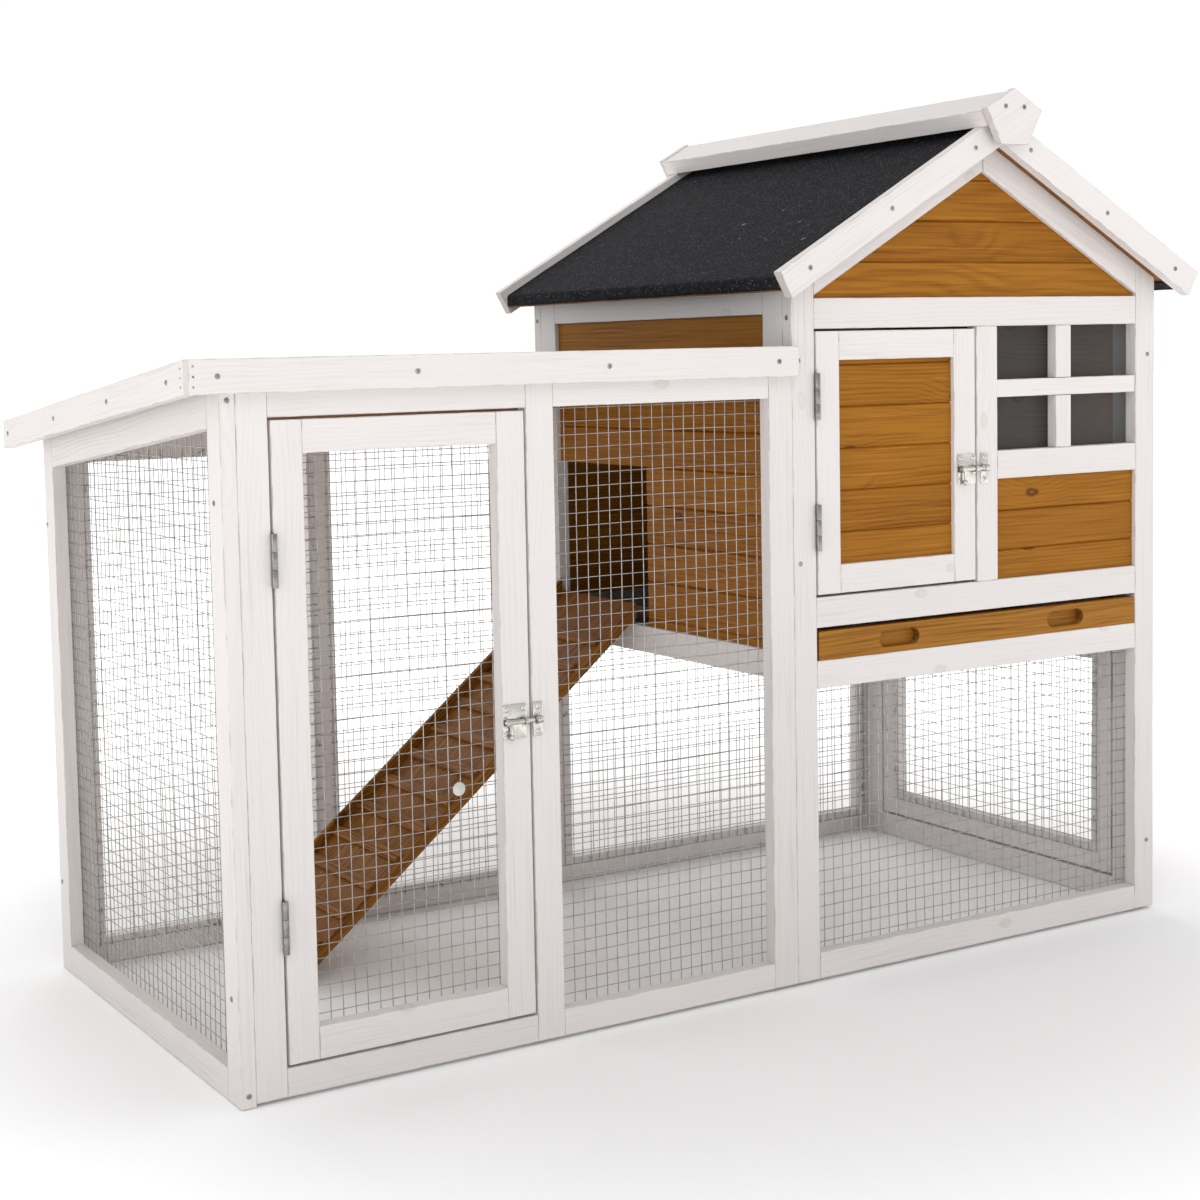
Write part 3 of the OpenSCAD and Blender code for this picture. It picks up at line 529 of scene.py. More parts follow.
class Finishes:
    """One material for each material slot of the hutch, and one for its hinges, darker in part as painted
    shade along their knuckles.
    """

    def __init__(self) -> None:
        """Build the effects and every finish."""
        effects = Effects()
        recipes = {
            "white_paint": Paint(),
            "stained_board": Stain("stained boards", (0.350, 0.142, 0.012), (0.185, 0.058, 0.003),
                                   (0.06, 0.016, 0.004)),
            # brown stain, made darker than the wall boards as painted shade of the roof's underside
            "dark_stain": Stain("brown roof boards", (0.27, 0.115, 0.032), (0.14, 0.052, 0.013),
                                (0.05, 0.02, 0.006)),
            "ramp_wood": Stain("ramp and tray timber", (0.37, 0.160, 0.022), (0.12, 0.038, 0.005),
                               (0.05, 0.015, 0.004)),
            "roofing_felt": Felt(),
            "zinc_wire": Metal("zinc wire", (0.44, 0.425, 0.405), (0.26, 0.25, 0.24), (0.34, 0.55), 400.0),
            "clear_pane": Pane(),
            "zinc_hardware": Metal("bright zinc plate", (0.60, 0.58, 0.54), (0.34, 0.32, 0.30),
                                   (0.20, 0.34), 260.0, 0.3),
            # hinge steel, darker than the zinc plate: partly its own colour, partly painted shade along the
            # knuckles
            HINGE_PAINTED_SHADE_FINISH: Metal("hinge steel with painted shade", (0.27, 0.265, 0.25), (0.12, 0.118, 0.11),
                                (0.26, 0.42), 260.0, 0.35),
            "black_screw": Metal("screw steel", (0.36, 0.37, 0.40), (0.16, 0.17, 0.19), (0.30, 0.55), 500.0),
            "tray_pan": Metal("galvanised sheet", (0.60, 0.61, 0.62), (0.42, 0.43, 0.45),
                              (0.30, 0.50), 90.0),
            "button_plastic": Plastic(),
        }
        self.by_name = {slot: recipe.material(effects) for slot, recipe in recipes.items()}

    def of(self, node: str, finish: str = "") -> bpy.types.Material:
        """Return the material of a CAD node's slot, or a finish asked for by name."""
        return self.by_name[finish or SLOTS[node]]


# ---- mesh helpers ----

def islands(bm: bmesh.types.BMesh) -> list[list[bmesh.types.BMVert]]:
    """Find the separate solids of a mesh.

    Args:
        bm: The mesh.

    Returns:
        The vertices of each solid.
    """
    left = set(bm.verts)
    found = []
    for seed in list(bm.verts):
        if seed not in left:
            continue
        left.discard(seed)
        group = [seed]
        for vert in group:
            for edge in vert.link_edges:
                other = edge.other_vert(vert)
                if other in left:
                    left.discard(other)
                    group.append(other)
        found.append(group)
    return found


def node_mesh(node: str) -> bmesh.types.BMesh:
    """Copy a CAD node's mesh with its seams closed and its flat faces whole.

    Args:
        node: The node's name.

    Returns:
        The copy.
    """
    bm = bmesh.new()
    bm.from_mesh(frame["nodes"][node].data)
    bmesh.ops.remove_doubles(bm, verts=bm.verts, dist=1e-5)
    bmesh.ops.dissolve_limit(bm, angle_limit=math.radians(0.5), verts=bm.verts, edges=bm.edges)
    return bm


def span(verts: list[bmesh.types.BMVert]) -> tuple[Vector, Vector]:
    """Return the lowest and highest corners of some vertices."""
    spots = [v.co for v in verts]
    return (Vector(min(s[i] for s in spots) for i in range(3)),
            Vector(max(s[i] for s in spots) for i in range(3)))


def ease(bm: bmesh.types.BMesh, edges: list[bmesh.types.BMEdge], width: float, clamp: bool = True) -> list:
    """Round edges over.

    Args:
        bm: The mesh.
        edges: The edges to round.
        width: The width of the rounding.
        clamp: Whether roundings stop where they would meet.

    Returns:
        The rounding's faces.
    """
    return bmesh.ops.bevel(bm, geom=edges, offset=width, segments=2, profile=0.6, affect="EDGES",
                           clamp_overlap=clamp)["faces"]


def sharp_edges(edges: Iterable[bmesh.types.BMEdge], degrees: float) -> list[bmesh.types.BMEdge]:
    """Return the edges whose faces meet at more than some degrees."""
    return [edge for edge in edges if edge.calc_face_angle(0.0) > math.radians(degrees)]


def skin(bm: bmesh.types.BMesh, rings: list[list[bmesh.types.BMVert]], capped: bool = True) -> list:
    """Join rings of vertices into one surface.

    Args:
        bm: The mesh.
        rings: The rings in order, each with the same number of vertices.
        capped: Whether the first and last ring are filled.

    Returns:
        The new faces.
    """
    faces = [bm.faces.new((low[k - 1], low[k], high[k], high[k - 1]))
             for low, high in zip(rings, rings[1:]) for k in range(len(low))]
    if capped:
        faces += [bm.faces.new(rings[0][::-1]), bm.faces.new(rings[-1])]
    return faces


def tube(bm: bmesh.types.BMesh, path: list[Vector], radius: float, sides: int = 6) -> None:
    """Sweep a closed tube along a path.

    Args:
        bm: The mesh that gets the tube.
        path: The points of its middle.
        radius: Its radius.
        sides: Its number of sides.
    """
    rings = []
    for i, spot in enumerate(path):
        along = (path[min(i + 1, len(path) - 1)] - path[max(i - 1, 0)]).normalized()
        side = along.cross(Vector((0.31, 0.53, 0.79))).normalized()
        up = along.cross(side)
        angles = [2 * math.pi * k / sides for k in range(sides)]
        rings.append([bm.verts.new(spot + radius * (math.cos(a) * side + math.sin(a) * up)) for a in angles])
    skin(bm, rings)


def lathe(bm: bmesh.types.BMesh, profile: list[tuple[float, float]], place: Matrix, steps: int = 24) -> None:
    """Turn a closed solid about the local Z axis.

    Args:
        bm: The mesh that gets the solid.
        profile: Radius and height of each ring, from one end to the other.
        place: Where the solid's origin and axes go.
        steps: The number of steps round the axis.
    """
    rings = []
    for radius, height in profile:
        angles = [2 * math.pi * k / steps for k in range(steps)]
        rings.append([bm.verts.new(place @ Vector((radius * math.cos(a), radius * math.sin(a), height)))
                      for a in angles])
    skin(bm, rings)


def prism(bm: bmesh.types.BMesh, outline: list[Vector], along: Vector, round_over: float) -> None:
    """Draw a flat outline out into a solid.

    Args:
        bm: The mesh that gets the solid.
        outline: The corners in order.
        along: The direction and length of the solid.
        round_over: Width of the rounding on its sharp edges.
    """
    near = [bm.verts.new(spot) for spot in outline]
    far = [bm.verts.new(spot + along) for spot in outline]
    faces = skin(bm, [near, far])
    bmesh.ops.recalc_face_normals(bm, faces=faces)
    ease(bm, sharp_edges({e for f in faces for e in f.edges}, 30), round_over, clamp=False)


def facing(direction: Vector, spot: Vector) -> Matrix:
    """Return the placing that turns local Z to a direction at a spot."""
    return Matrix.Translation(spot) @ direction.to_track_quat("Z", "Y").to_matrix().to_4x4()


def cross_radius(angle: float, arm: float, half: float) -> float:
    """Return the outline radius of a cross with the given arm length and half width."""
    turned = abs((angle + math.pi / 4) % (math.pi / 2) - math.pi / 4)
    return min(arm / math.cos(turned), half / max(math.sin(turned), 1e-6))


def screw_head(bm: bmesh.types.BMesh, spot: Vector, direction: Vector, radius: float, height: float,
               turn: float) -> None:
    """Add a domed screw head with a cross recess.

    Args:
        bm: The mesh that gets the head.
        spot: The middle of the head's underside.
        direction: The way the head faces.
        radius: The head's radius.
        height: The head's height.
        turn: The recess's angle.
    """
    steps = 48
    place = facing(direction, spot)
    dome = ((1.0, 0.0, False), (1.0, 0.35, False), (0.9, 0.72, False), (0.68, 1.0, False))
    recess = ((1.0, 1.0, True), (0.72, 0.15, True))
    rings = []
    for share, level, crossed in dome + recess:
        ring = []
        for k in range(steps):
            angle = 2 * math.pi * k / steps
            reach = cross_radius(angle - turn, 0.56 * radius, 0.13 * radius) if crossed else radius
            x, y = reach * share * math.cos(angle), reach * share * math.sin(angle)
            ring.append(bm.verts.new(place @ Vector((x, y, height * level))))
        rings.append(ring)
    skin(bm, rings)


class Piece:
    """A finished piece: a mesh with its material, that stands for a CAD node and rides on its body."""

    @staticmethod
    def make(bm: bmesh.types.BMesh, name: str, node: str, finishes: Finishes, smooth: float = 0.0,
             finish: str = "") -> bpy.types.Object:
        """Turn a mesh into a piece of the hutch.

        Args:
            bm: The mesh, which is freed.
            name: The piece's name.
            node: The CAD node whose slot and body it takes.
            finishes: The materials.
            smooth: Faces that meet at less than this many degrees are shaded smooth.
            finish: A finish other than the slot's own.

        Returns:
            The new object.
        """
        mesh = bpy.data.meshes.new(name)
        bm.to_mesh(mesh)
        bm.free()
        piece = bpy.data.objects.new(name, mesh)
        bpy.context.scene.collection.objects.link(piece)
        mesh.materials.append(finishes.of(node, finish))
        if smooth:
            mesh.shade_smooth()
            mesh.set_sharp_from_angle(angle=math.radians(smooth))
        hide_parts(node)
        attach(piece, BODY_OF[node])
        log.info("%s: %d faces on %s", name, len(mesh.polygons), BODY_OF[node])
        return piece


@dataclass
class Timber:
    """Sawn timber pieces of one CAD node, with eased edges and a grain of their own."""

    node: str
    round_over: float = 0.9 * MM
    shade: float | None = None

    def build(self, finishes: Finishes) -> bpy.types.Object:
        """Build the node's timber.

        Args:
            finishes: The materials.

        Returns:
            The piece.
        """
        bm = node_mesh(self.node)
        grain = bm.verts.layers.float_vector.new("grain")
        edge, end, tone = (bm.faces.layers.float.new(name) for name in ("edge", "end", "tone"))
        axes = self._axes(bm)
        for face in ease(bm, sharp_edges(bm.edges, 25), self.round_over):
            face[edge] = 1.0
        draw = random.Random(self.node)
        for solid in islands(bm):
            middle = sum((v.co for v in solid), Vector()) / len(solid)
            _, (along, wide) = min(((spot - middle).length, pair) for spot, pair in axes)
            thick = along.cross(wide)
            start = Vector((draw.uniform(0, 9), draw.uniform(0, 9), draw.uniform(0, 9)))
            shade = draw.random() if self.shade is None else self.shade
            for vert in solid:
                spot = vert.co - middle
                vert[grain] = start + Vector((spot @ along, spot @ wide, spot @ thick))
            for face in {f for v in solid for f in v.link_faces}:
                face[tone] = shade
                face[end] = 1.0 if abs(face.normal @ along) > 0.8 else 0.0
        return Piece.make(bm, f"{self.node}_timber", self.node, finishes)

    @staticmethod
    def _axes(bm: bmesh.types.BMesh) -> list[tuple[Vector, tuple[Vector, Vector]]]:
        """Find how each solid lies.

        Args:
            bm: The mesh before its edges are rounded.

        Returns:
            Each solid's middle, with the directions of its length and its width.
        """
        found = []
        for solid in islands(bm):
            edges = {e for v in solid for e in v.link_edges}
            runs = sorted(((e.calc_length(), tuple((e.verts[1].co - e.verts[0].co).normalized()))
                           for e in edges), reverse=True)
            along = Vector(runs[0][1])
            wide = next((Vector(d) for _, d in runs if abs(Vector(d) @ along) < 0.5), along.orthogonal())
            wide = (wide - (wide @ along) * along).normalized()
            low, high = span(solid)
            found.append(((low + high) / 2, (along, wide)))
        return found


@dataclass
class Pressed:
    """Small metal or plain pieces of one CAD node, with their edges broken."""

    node: str
    round_over: float = 0.25 * MM
    finish: str = ""

    def build(self, finishes: Finishes) -> bpy.types.Object:
        """Build the node's pieces.

        Args:
            finishes: The materials.

        Returns:
            The piece.
        """
        bm = node_mesh(self.node)
        ease(bm, sharp_edges(bm.edges, 40), self.round_over)
        return Piece.make(bm, f"{self.node}_metal", self.node, finishes, smooth=30, finish=self.finish)


class Side(Enum):
    """The side of the timber on which a wire panel lies: the way from the timber to the wire."""

    BEHIND_FRONT = (0, 1, 0)
    BEFORE_BACK = (0, -1, 0)
    INSIDE_END = (1, 0, 0)
    INSIDE_RIGHT = (-1, 0, 0)


@dataclass
class WirePanel:
    """Welded wire stapled to the inside of a frame."""

    node: str
    sides: tuple[Side, ...]
    pitch: float = 12.7 * MM
    radius: float = 0.45 * MM
    ripple: float = 1.1 * MM
    sway: float = 0.7 * MM
    lap: float = 9 * MM
    staple_gap: float = 76 * MM
    staple_l: float = 8 * MM
    staple_crown: float = 1.98 * MM

    def build(self, finishes: Finishes) -> bpy.types.Object:
        """Build the panels of the node.

        Args:
            finishes: The materials.

        Returns:
            The piece.
        """
        source = node_mesh(self.node)
        solids = sorted(islands(source), key=lambda verts: tuple(span(verts)[0]))
        bm = bmesh.new()
        for number, verts in enumerate(solids):
            away = Vector(self.sides[min(number, len(self.sides) - 1)].value)
            self._panel(bm, verts, away, random.Random(f"{self.node}{number}"))
        source.free()
        return Piece.make(bm, f"{self.node}_wires", self.node, finishes, smooth=70)

    def _panel(self, bm: bmesh.types.BMesh, verts: list, away: Vector, draw: random.Random) -> None:
        """Lay the wires of one panel.

        Args:
            bm: The mesh that gets the wires.
            verts: The vertices of the panel's CAD solid.
            away: The way from the timber to the wire.
            draw: The panel's own random numbers.
        """
        low, high = span(verts)
        level = Vector((0, 1, 0)) if away.x else Vector((1, 0, 0))
        width, height = (high - low) @ level, high.z - low.z
        face = low + Vector((high[i] - low[i] if away[i] < 0 else 0 for i in range(3)))
        tops = [max(v.co.z for v in verts if abs((v.co - low) @ level - side) < 2 * MM) - low.z
                for side in (0, width)]
        phases = [draw.uniform(0, 2 * math.pi) for _ in range(6)]

        def top(a: float) -> float:
            """Return the panel's height at a distance along its foot."""
            return tops[0] + (tops[1] - tops[0]) * a / width

        def spot(a: float, b: float, layer: float) -> Vector:
            """Find a point of the rippled panel.

            Args:
                a: How far along its foot.
                b: How far up.
                layer: How far the wire's middle lies from the timber.

            Returns:
                The point.
            """
            inset = min(a, width - a, b, height - b) - self.lap
            free = max(0.0, min(1.0, inset / (4 * self.pitch)))
            swell = math.sin(a * 19 + phases[0]) * math.sin(b * 13 + phases[1])
            swell += 0.4 * math.sin(b * 41 + phases[2])
            out = layer + self.ripple * free * (0.5 + 0.5 * swell / 1.4)
            slide = self.sway * free * math.sin(a * 23 + b * 9 + phases[3])
            rise = self.sway * free * math.sin(a * 17 - b * 11 + phases[4])
            return face + away * out + level * (a + slide) + Vector((0, 0, b + rise))

        first = self.radius + draw.uniform(0, 0.4) * self.pitch
        for k in range(int((height - first) / self.pitch) + 1):
            b = first + k * self.pitch
            reach = [a for a in (0.0, width) if b <= top(a) - self.radius]
            if not reach:
                continue
            ends = [0.0, width]
            if len(reach) == 1:
                cut = width * (b + self.radius - tops[0]) / (tops[1] - tops[0])
                ends = sorted((reach[0], cut))
            count = max(2, round((ends[1] - ends[0]) / (2 * self.pitch)))
            steps = [ends[0] + (ends[1] - ends[0]) * i / count for i in range(count + 1)]
            tube(bm, [spot(a, b, self.radius) for a in steps], self.radius)
        for k in range(int((width - first) / self.pitch) + 1):
            a = first + k * self.pitch
            count = max(2, round(top(a) / (2 * self.pitch)))
            steps = [top(a) * i / count for i in range(count + 1)]
            tube(bm, [spot(a, b, 2.7 * self.radius) for b in steps], self.radius)
        self._staples(bm, width, tops, lambda a, b: face + level * a + Vector((0, 0, b)), away, draw)

    def _staples(self, bm: bmesh.types.BMesh, width: float, tops: list[float], at: object, away: Vector,
                 draw: random.Random) -> None:
        """Drive staples over the panel's edges.

        Args:
            bm: The mesh that gets the staples.
            width: The panel's width.
            tops: The panel's height at its two sides.
            at: Gives the point a along and b up.
            away: The way from the timber to the wire.
            draw: The panel's own random numbers.
        """
        inset = self.lap / 2
        spots = []
        for k in range(int(width / self.staple_gap)):
            a = (k + 0.5) * width / int(width / self.staple_gap)
            over = tops[0] + (tops[1] - tops[0]) * a / width
            spots += [(a, inset), (a, over - inset)]
        for k in range(int(min(tops) / self.staple_gap)):
            b = (k + 0.5) * min(tops) / int(min(tops) / self.staple_gap)
            spots += [(inset, b), (width - inset, b)]
        for a, b in spots:
            turn = draw.uniform(-0.5, 0.5) + (math.pi / 2 if draw.random() < 0.5 else 0.0)
            half_a, half_b = (self.staple_l / 2 * f(turn) for f in (math.cos, math.sin))
            one, two = at(a - half_a * 0.8, b - half_b * 0.8), at(a + half_a * 0.8, b + half_b * 0.8)
            crown = away * self.staple_crown
            bridge = [one.lerp(two, 0.1) + crown, one.lerp(two, 0.9) + crown]
            tube(bm, [one - away * MM, one + crown * 0.8, *bridge, two + crown * 0.8, two - away * MM],
                 self.radius, 5)


@dataclass
class FeltSheet:
    """A sheet of roofing felt, bent over its edges and slightly uneven."""

    node: str
    along: Vector
    reach: tuple[float, float]
    line: list[Vector]
    thick: float = 2 * MM
    bend_r: float = 5 * MM
    bend_steps: int = 6
    step: float = 12 * MM
    swell: float = 0.5 * MM

    def build(self, finishes: Finishes) -> bpy.types.Object:
        """Build the sheet.

        Args:
            finishes: The materials.

        Returns:
            The piece.
        """
        path = self._rounded()
        bm = bmesh.new()
        count = round((self.reach[1] - self.reach[0]) / self.step)
        rings = []
        for i in range(count + 1):
            where = self.reach[0] + (self.reach[1] - self.reach[0]) * i / count
            upper, lower = [], []
            for spot, out in path:
                base = spot + self.along * where
                lift = self.swell * (noise.noise(base * 22) * 0.6 + noise.noise(base * 70) * 0.4 - 0.4)
                upper.append(bm.verts.new(base + out * lift))
                lower.append(bm.verts.new(base - out * self.thick))
            rings.append(upper + lower[::-1])
        skin(bm, rings, capped=False)
        for ring in (rings[0], rings[-1]):
            for k in range(len(path) - 1):
                bm.faces.new((ring[k], ring[k + 1], ring[-2 - k], ring[-1 - k]))
        bmesh.ops.recalc_face_normals(bm, faces=bm.faces)
        return Piece.make(bm, f"{self.node}_sheet", self.node, finishes, smooth=50)

    def _rounded(self) -> list[tuple[Vector, Vector]]:
        """Round the bends of the sheet's upper line and part it into even steps.

        Returns:
            The points of the line, each with the way out of the sheet there.
        """
        spots = [self.line[0]]
        for before, corner, after in zip(self.line, self.line[1:], self.line[2:]):
            back, on = (before - corner).normalized(), (after - corner).normalized()
            half = math.acos(max(-1.0, min(1.0, back @ on))) / 2
            cut = self.bend_r / math.tan(half)
            middle = corner + (back + on).normalized() * self.bend_r / math.sin(half)
            first, last = corner + back * cut - middle, corner + on * cut - middle
            spots += [middle + first.lerp(last, k / self.bend_steps).normalized() * self.bend_r
                      for k in range(self.bend_steps + 1)]
        spots.append(self.line[-1])
        even = []
        for one, two in zip(spots, spots[1:]):
            count = max(1, round((two - one).length / self.step))
            even += [one.lerp(two, k / count) for k in range(count)]
        even.append(spots[-1])
        ends = self.line[-1] - self.line[0]
        up = 1.0 if ends.cross(self.along).z > 0 else -1.0
        result = []
        for i, spot in enumerate(even):
            run = even[min(i + 1, len(even) - 1)] - even[max(i - 1, 0)]
            result.append((spot, run.cross(self.along).normalized() * up))
        return result


# ---- sub-assemblies ----

@dataclass
class Run:
    """The meshed run: end panel, front, back and lean-to roof."""

    timbers: tuple[str, ...] = (
        "run_end_stiles", "run_end_rails", "run_front_stiles", "run_front_rails", "run_back_stiles",
        "run_back_rails", "run_roof_boards", "run_fascia", "run_barge_board")
    felt_fold: float = 13 * MM
    felt_t: float = FELT_T

    def build(self, finishes: Finishes) -> None:
        """Build the run's frames, wire and roof.

        Args:
            finishes: The materials.
        """
        for node in self.timbers:
            Timber(node).build(finishes)
        WirePanel("run_end_mesh", (Side.INSIDE_END,)).build(finishes)
        WirePanel("run_front_mesh", (Side.BEHIND_FRONT,)).build(finishes)
        WirePanel("run_back_mesh", (Side.BEFORE_BACK,)).build(finishes)
        low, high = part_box("run_roof_felt")
        edge = Vector((0, high.y + self.felt_t, low.z + self.felt_t))
        line = [Vector((0, low.y, high.z)), edge, edge - Vector((0, 0, self.felt_fold))]
        FeltSheet("run_roof_felt", Vector((1, 0, 0)), (low.x, high.x), line, self.felt_t).build(finishes)


@dataclass
class House:
    """The raised house: four walls, window and gabled roof."""

    frames: tuple[str, ...] = (
        "house_front_stiles", "house_front_rails", "window_bars", "left_wall_stiles", "left_wall_rails",
        "right_wall_stiles", "right_wall_rails", "back_wall_stiles", "back_wall_rails", "tray_runners",
        "house_roof_boards", "barge_boards", "ridge_cap", "ridge_heads")
    boards: tuple[str, ...] = (
        "house_front_boards", "left_wall_boards", "right_wall_boards", "back_wall_boards")
    board_edge: float = 0.3 * MM
    pitch: float = math.radians(29.5)
    felt_t: float = FELT_T
    felt_slack: float = 0.5 * MM
    tuck: float = 21 * MM

    def build(self, finishes: Finishes) -> None:
        """Build the walls, the window, the wire and the roof.

        Args:
            finishes: The materials.
        """
        for node in self.frames:
            Timber(node).build(finishes)
        for node in self.boards:
            Timber(node, self.board_edge).build(finishes)
        WirePanel("house_mesh", (Side.BEHIND_FRONT, Side.BEFORE_BACK)).build(finishes)
        panes = frame["nodes"]["window_pane"].data.materials
        panes.clear()
        panes.append(finishes.of("window_pane"))
        self._felt(finishes)

    def _felt(self, finishes: Finishes) -> None:
        """Lay the felt over both slopes and tuck it in under the eaves.

        Args:
            finishes: The materials.
        """
        low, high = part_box("house_roof_felt")
        half = (high.x - low.x) / 2
        slope = math.tan(self.pitch)
        under = high.z - half * slope - low.z + 2 * self.felt_t + self.felt_slack

        def at(across: float, down: float) -> Vector:
            """Return the point this far from the ridge line and this far below the slope's top."""
            return Vector(((low.x + high.x) / 2 + across, 0, high.z - abs(across) * slope - down))

        line = [at(-half + self.tuck, under), at(-half, under), at(-half, 0), at(0, 0),
                at(half, 0), at(half, under), at(half - self.tuck, under)]
        FeltSheet("house_roof_felt", Vector((0, 1, 0)), (low.y, high.y), line, self.felt_t).build(finishes)


@dataclass
class Ramp:
    """The sloping board with cleats, hung on the doorway's sill."""

    board_edge: float = 1.2 * MM
    board_shade: float = 1.5
    cleat_edge: float = 1.0 * MM
    cleat_shade: float = 1.4

    def build(self, finishes: Finishes) -> None:
        """Build the board, the cleats and the hooks.

        Args:
            finishes: The materials.
        """
        Timber("ramp_board", self.board_edge, self.board_shade).build(finishes)
        Timber("ramp_cleats", self.cleat_edge, self.cleat_shade).build(finishes)
        Pressed("ramp_hooks").build(finishes)


@dataclass
class SlideBolt:
    """A surface bolt: plate with two straps, rod with a hanging knob."""

    name: str
    plate_w: float = 26 * MM
    plate_h: float = 33 * MM
    plate_t: float = 1.2 * MM
    plate_edge: float = 0.3 * MM
    corner_r: float = 2.2 * MM
    rod_r: float = 2.5 * MM
    rod_out: float = 5.0 * MM
    knob_shift: float = -5.5 * MM
    ball_r: float = 3 * MM
    strap_t: float = 1.2 * MM
    strap_w: float = 4 * MM
    strap_inset: float = 3 * MM
    strap_foot: float = 1.6 * MM
    strap_play: float = 0.25 * MM
    strap_edge: float = 0.2 * MM
    screw_r: float = 3 * MM
    screw_h: float = 0.8 * MM
    screws: tuple[Range, ...] = ((-9 * MM, 12 * MM), (9 * MM, 12 * MM), (-9.2 * MM, -11.5 * MM))

    def build(self, finishes: Finishes) -> None:
        """Build the plate and the rod.

        Args:
            finishes: The materials.
        """
        low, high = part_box(f"{self.name}_plate")
        middle = Vector(((low.x + high.x) / 2, high.y, (low.z + high.z) / 2))
        bm = bmesh.new()
        self.plate(bm, middle, self.plate_w)
        reach = self.plate_w / 2 - self.strap_inset
        for side in (-1, 1):
            self.strap(bm, middle + Vector((side * reach, 0, 0)), self.strap_w)
        for k, (x, z) in enumerate(self.screws):
            self.screw(bm, middle + Vector((x, 0, z)), 0.4 + k)
        Piece.make(bm, f"{self.name}_plate_metal", f"{self.name}_plate", finishes, smooth=35)
        self._rod(middle, finishes)

    def plate(self, bm: bmesh.types.BMesh, middle: Vector, width: float) -> None:
        """Add a plate with round corners that lies on a front face.

        Args:
            bm: The mesh that gets the plate.
            middle: The middle of its back.
            width: Its width.
        """
        r = self.corner_r
        outline = []
        for quarter, (sx, sz) in enumerate(((1, 1), (-1, 1), (-1, -1), (1, -1))):
            for k in range(5):
                angle = (quarter + k / 4) * math.pi / 2
                outline.append(middle + Vector((sx * (width / 2 - r) + r * math.cos(angle), 0,
                                                sz * (self.plate_h / 2 - r) + r * math.sin(angle))))
        prism(bm, outline, Vector((0, -self.plate_t, 0)), self.plate_edge)

    def strap(self, bm: bmesh.types.BMesh, middle: Vector, width: float) -> None:
        """Add a pressed strap that bridges the rod.

        Args:
            bm: The mesh that gets the strap.
            middle: The spot on the timber behind the strap.
            width: Its width along the rod.
        """
        inner = self.rod_r + self.strap_play
        outer = inner + self.strap_t - 0.1 * MM
        foot = outer + self.strap_foot
        back, front = -self.plate_t + 0.1 * MM, -self.plate_t - self.strap_t * 0.6
        arc = [math.radians(a) for a in range(0, 181, 15)]
        outline = [(foot, back), (foot, front), (outer, front)]
        outline += [(outer * math.cos(a), -self.rod_out - outer * math.sin(a)) for a in arc]
        outline += [(-outer, front), (-foot, front), (-foot, back), (-inner, back)]
        outline += [(inner * math.cos(a), -self.rod_out - inner * math.sin(a)) for a in arc[::-1]]
        outline += [(inner, back)]
        start = middle - Vector((width / 2, 0, 0))
        prism(bm, [start + Vector((0, y, z)) for z, y in outline], Vector((width, 0, 0)), self.strap_edge)

    def screw(self, bm: bmesh.types.BMesh, spot: Vector, turn: float) -> None:
        """Add a screw head on the plate in front of a spot on the timber."""
        ahead = Vector((0, -1, 0))
        screw_head(bm, spot + self.plate_t * ahead, ahead, self.screw_r, self.screw_h, turn)

    def _rod(self, middle: Vector, finishes: Finishes) -> None:
        """Build the rod and its knob.

        Args:
            middle: The middle of the plate on the timber.
            finishes: The materials.
        """
        low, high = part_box(f"{self.name}_rod")
        length, r, ball_r = high.x - low.x, self.rod_r, self.ball_r
        axis = middle + Vector((0, -self.rod_out, 0))
        bm = bmesh.new()
        ends = [(0.6 * r, 0), (0.9 * r, 0.25 * r), (r, 0.6 * r)]
        profile = ends + [(r, length / 2)] + [(radius, length - z) for radius, z in ends[::-1]]
        lathe(bm, profile, facing(Vector((1, 0, 0)), Vector((low.x, axis.y, axis.z))), 32)
        ball_z = axis.z - low.z - ball_r
        neck = [(1.7 * MM, 0), (1.7 * MM, 2.6 * MM), (1.35 * MM, 4 * MM), (1.35 * MM, ball_z - 2.6 * MM)]
        arc = [math.radians(a) for a in range(-64, 81, 18)]
        ball = [(ball_r * math.cos(a), ball_z + ball_r * math.sin(a)) for a in arc]
        cap = [(0.6 * MM, ball_z + ball_r * 0.985)]
        hang = facing(Vector((0, 0, -1)), axis + Vector((self.knob_shift, 0, 0)))
        lathe(bm, neck + ball + cap, hang, 24)
        Piece.make(bm, f"{self.name}_rod_metal", f"{self.name}_rod", finishes, smooth=40)


@dataclass
class Door:
    """A hinged door: its frame, what fills it, and its hinge leaves."""

    name: str
    wire_side: Side | None = None
    bolt: str = ""
    board_edge: float = 0.3 * MM
    leaf_edge: float = 0.2 * MM

    def build(self, finishes: Finishes) -> None:
        """Build the door.

        Args:
            finishes: The materials.
        """
        Timber(f"{self.name}_stiles").build(finishes)
        Timber(f"{self.name}_rails").build(finishes)
        if self.wire_side:
            WirePanel(f"{self.name}_mesh", (self.wire_side,)).build(finishes)
        else:
            Timber(f"{self.name}_boards", self.board_edge).build(finishes)
        Pressed(f"{self.name}_hinge_leaves", self.leaf_edge, HINGE_PAINTED_SHADE_FINISH).build(finishes)
        if self.bolt:
            SlideBolt(self.bolt).build(finishes)


@dataclass
class LitterTray:
    """The pull-out tray: its front board and the pan behind it."""

    front_edge: float = 1.1 * MM
    pan_edge: float = 0.4 * MM

    def build(self, finishes: Finishes) -> None:
        """Build the tray.

        Args:
            finishes: The materials.
        """
        Timber("tray_front", self.front_edge, 0.0).build(finishes)
        Pressed("tray_pan", self.pan_edge).build(finishes)


